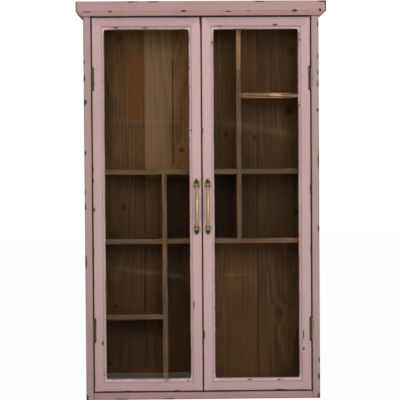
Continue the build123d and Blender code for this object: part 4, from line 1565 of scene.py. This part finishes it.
def studio_lamps(studio):
    """A large lamp above, a bounce from below, two tall strips and a glint for the gloss."""
    middle = (cad_low + cad_high) / 2
    strip = studio.strip_power
    area_light("Key", (0.15, -2.0, 1.42), middle, 2.2, 1.0, studio.key_power)
    area_light("Bounce", (0, -1.9, -0.9), middle, 2.4, 0.8, studio.bounce_power)
    area_light("Strip_right", (0.95, -3.0, 0.5), middle, 0.3, 4.6, strip, mirrored=True)
    area_light("Strip_left", (-1.5, -2.6, 0.5), middle, 0.4, 4.0, strip, mirrored=True)
    area_light(
        "Glint", (0.62, -1.2, 0.45), (0, case_front, 0.45), 0.1, 3.2, studio.glint_power,
        lights=False, mirrored=True,
    )


def studio_camera(studio):
    """The camera, turned by its yaw, pitch and roll."""
    data = bpy.data.cameras.new("Camera")
    data.sensor_width = 36
    data.lens = studio.lens
    camera = bpy.data.objects.new("Camera", data)
    bpy.context.scene.collection.objects.link(camera)
    yaw, pitch, roll = studio.yaw, studio.pitch, studio.roll
    ahead = Vector(
        (math.sin(yaw) * math.cos(pitch), math.cos(yaw) * math.cos(pitch), -math.sin(pitch))
    )
    level = Vector((math.cos(yaw), -math.sin(yaw), 0))
    upward = level.cross(ahead)
    right = level * math.cos(roll) + upward * math.sin(roll)
    top = upward * math.cos(roll) - level * math.sin(roll)
    turn = Matrix((right, top, -ahead)).transposed()
    camera.matrix_world = Matrix.Translation(studio.camera_place) @ turn.to_4x4()
    return camera


class CABINET_OT_set_stage(bpy.types.Operator):
    """Set the floor, the lights, the surround and the camera"""

    bl_idname = "cabinet.set_stage"
    bl_label = "Set the stage"

    def execute(self, context):
        scene = context.scene
        studio = scene.cabinet_studio
        studio_floor(studio)
        studio_lamps(studio)
        white_surround(studio.sky)
        scene.camera = studio_camera(studio)
        scene.view_settings.view_transform = "Standard"
        return {"FINISHED"}


OPERATORS = [
    CABINET_OT_paint_case,
    CABINET_OT_paint_doors,
    CABINET_OT_stain_back,
    CABINET_OT_stain_shelves,
    CABINET_OT_finish_joints,
    CABINET_OT_glaze,
    CABINET_OT_finish_handles,
    CABINET_OT_finish_hinges,
    CABINET_OT_finish_catches,
    CABINET_OT_drive_screws,
    CABINET_OT_drive_nails,
    CABINET_OT_set_stage,
]


class CABINET_PT_panel(bpy.types.Panel):
    """Lists the steps that finish the cabinet, and their settings"""

    bl_idname = "CABINET_PT_panel"
    bl_label = "Cabinet"
    bl_space_type = "VIEW_3D"
    bl_region_type = "UI"
    bl_category = "Cabinet"

    def draw(self, context):
        for step in OPERATORS:
            self.layout.operator(step.bl_idname)
        for name, group in GROUPS.items():
            box = self.layout.box()
            box.label(text=group.__doc__)
            for setting in group.__annotations__:
                box.prop(getattr(context.scene, name), setting)


def register():
    for group in GROUPS.values():
        bpy.utils.register_class(group)
    for name, group in GROUPS.items():
        setattr(bpy.types.Scene, name, bpy.props.PointerProperty(type=group))
    for made in (*OPERATORS, CABINET_PT_panel):
        bpy.utils.register_class(made)


def unregister():
    for made in (CABINET_PT_panel, *reversed(OPERATORS)):
        bpy.utils.unregister_class(made)
    for name, group in GROUPS.items():
        delattr(bpy.types.Scene, name)
        bpy.utils.unregister_class(group)


def main():
    """Registers the add-on and finishes the cabinet step by step."""
    register()
    for step in OPERATORS:
        area, name = step.bl_idname.split(".")
        getattr(getattr(bpy.ops, area), name)()


if __name__ == "__main__":
    main()
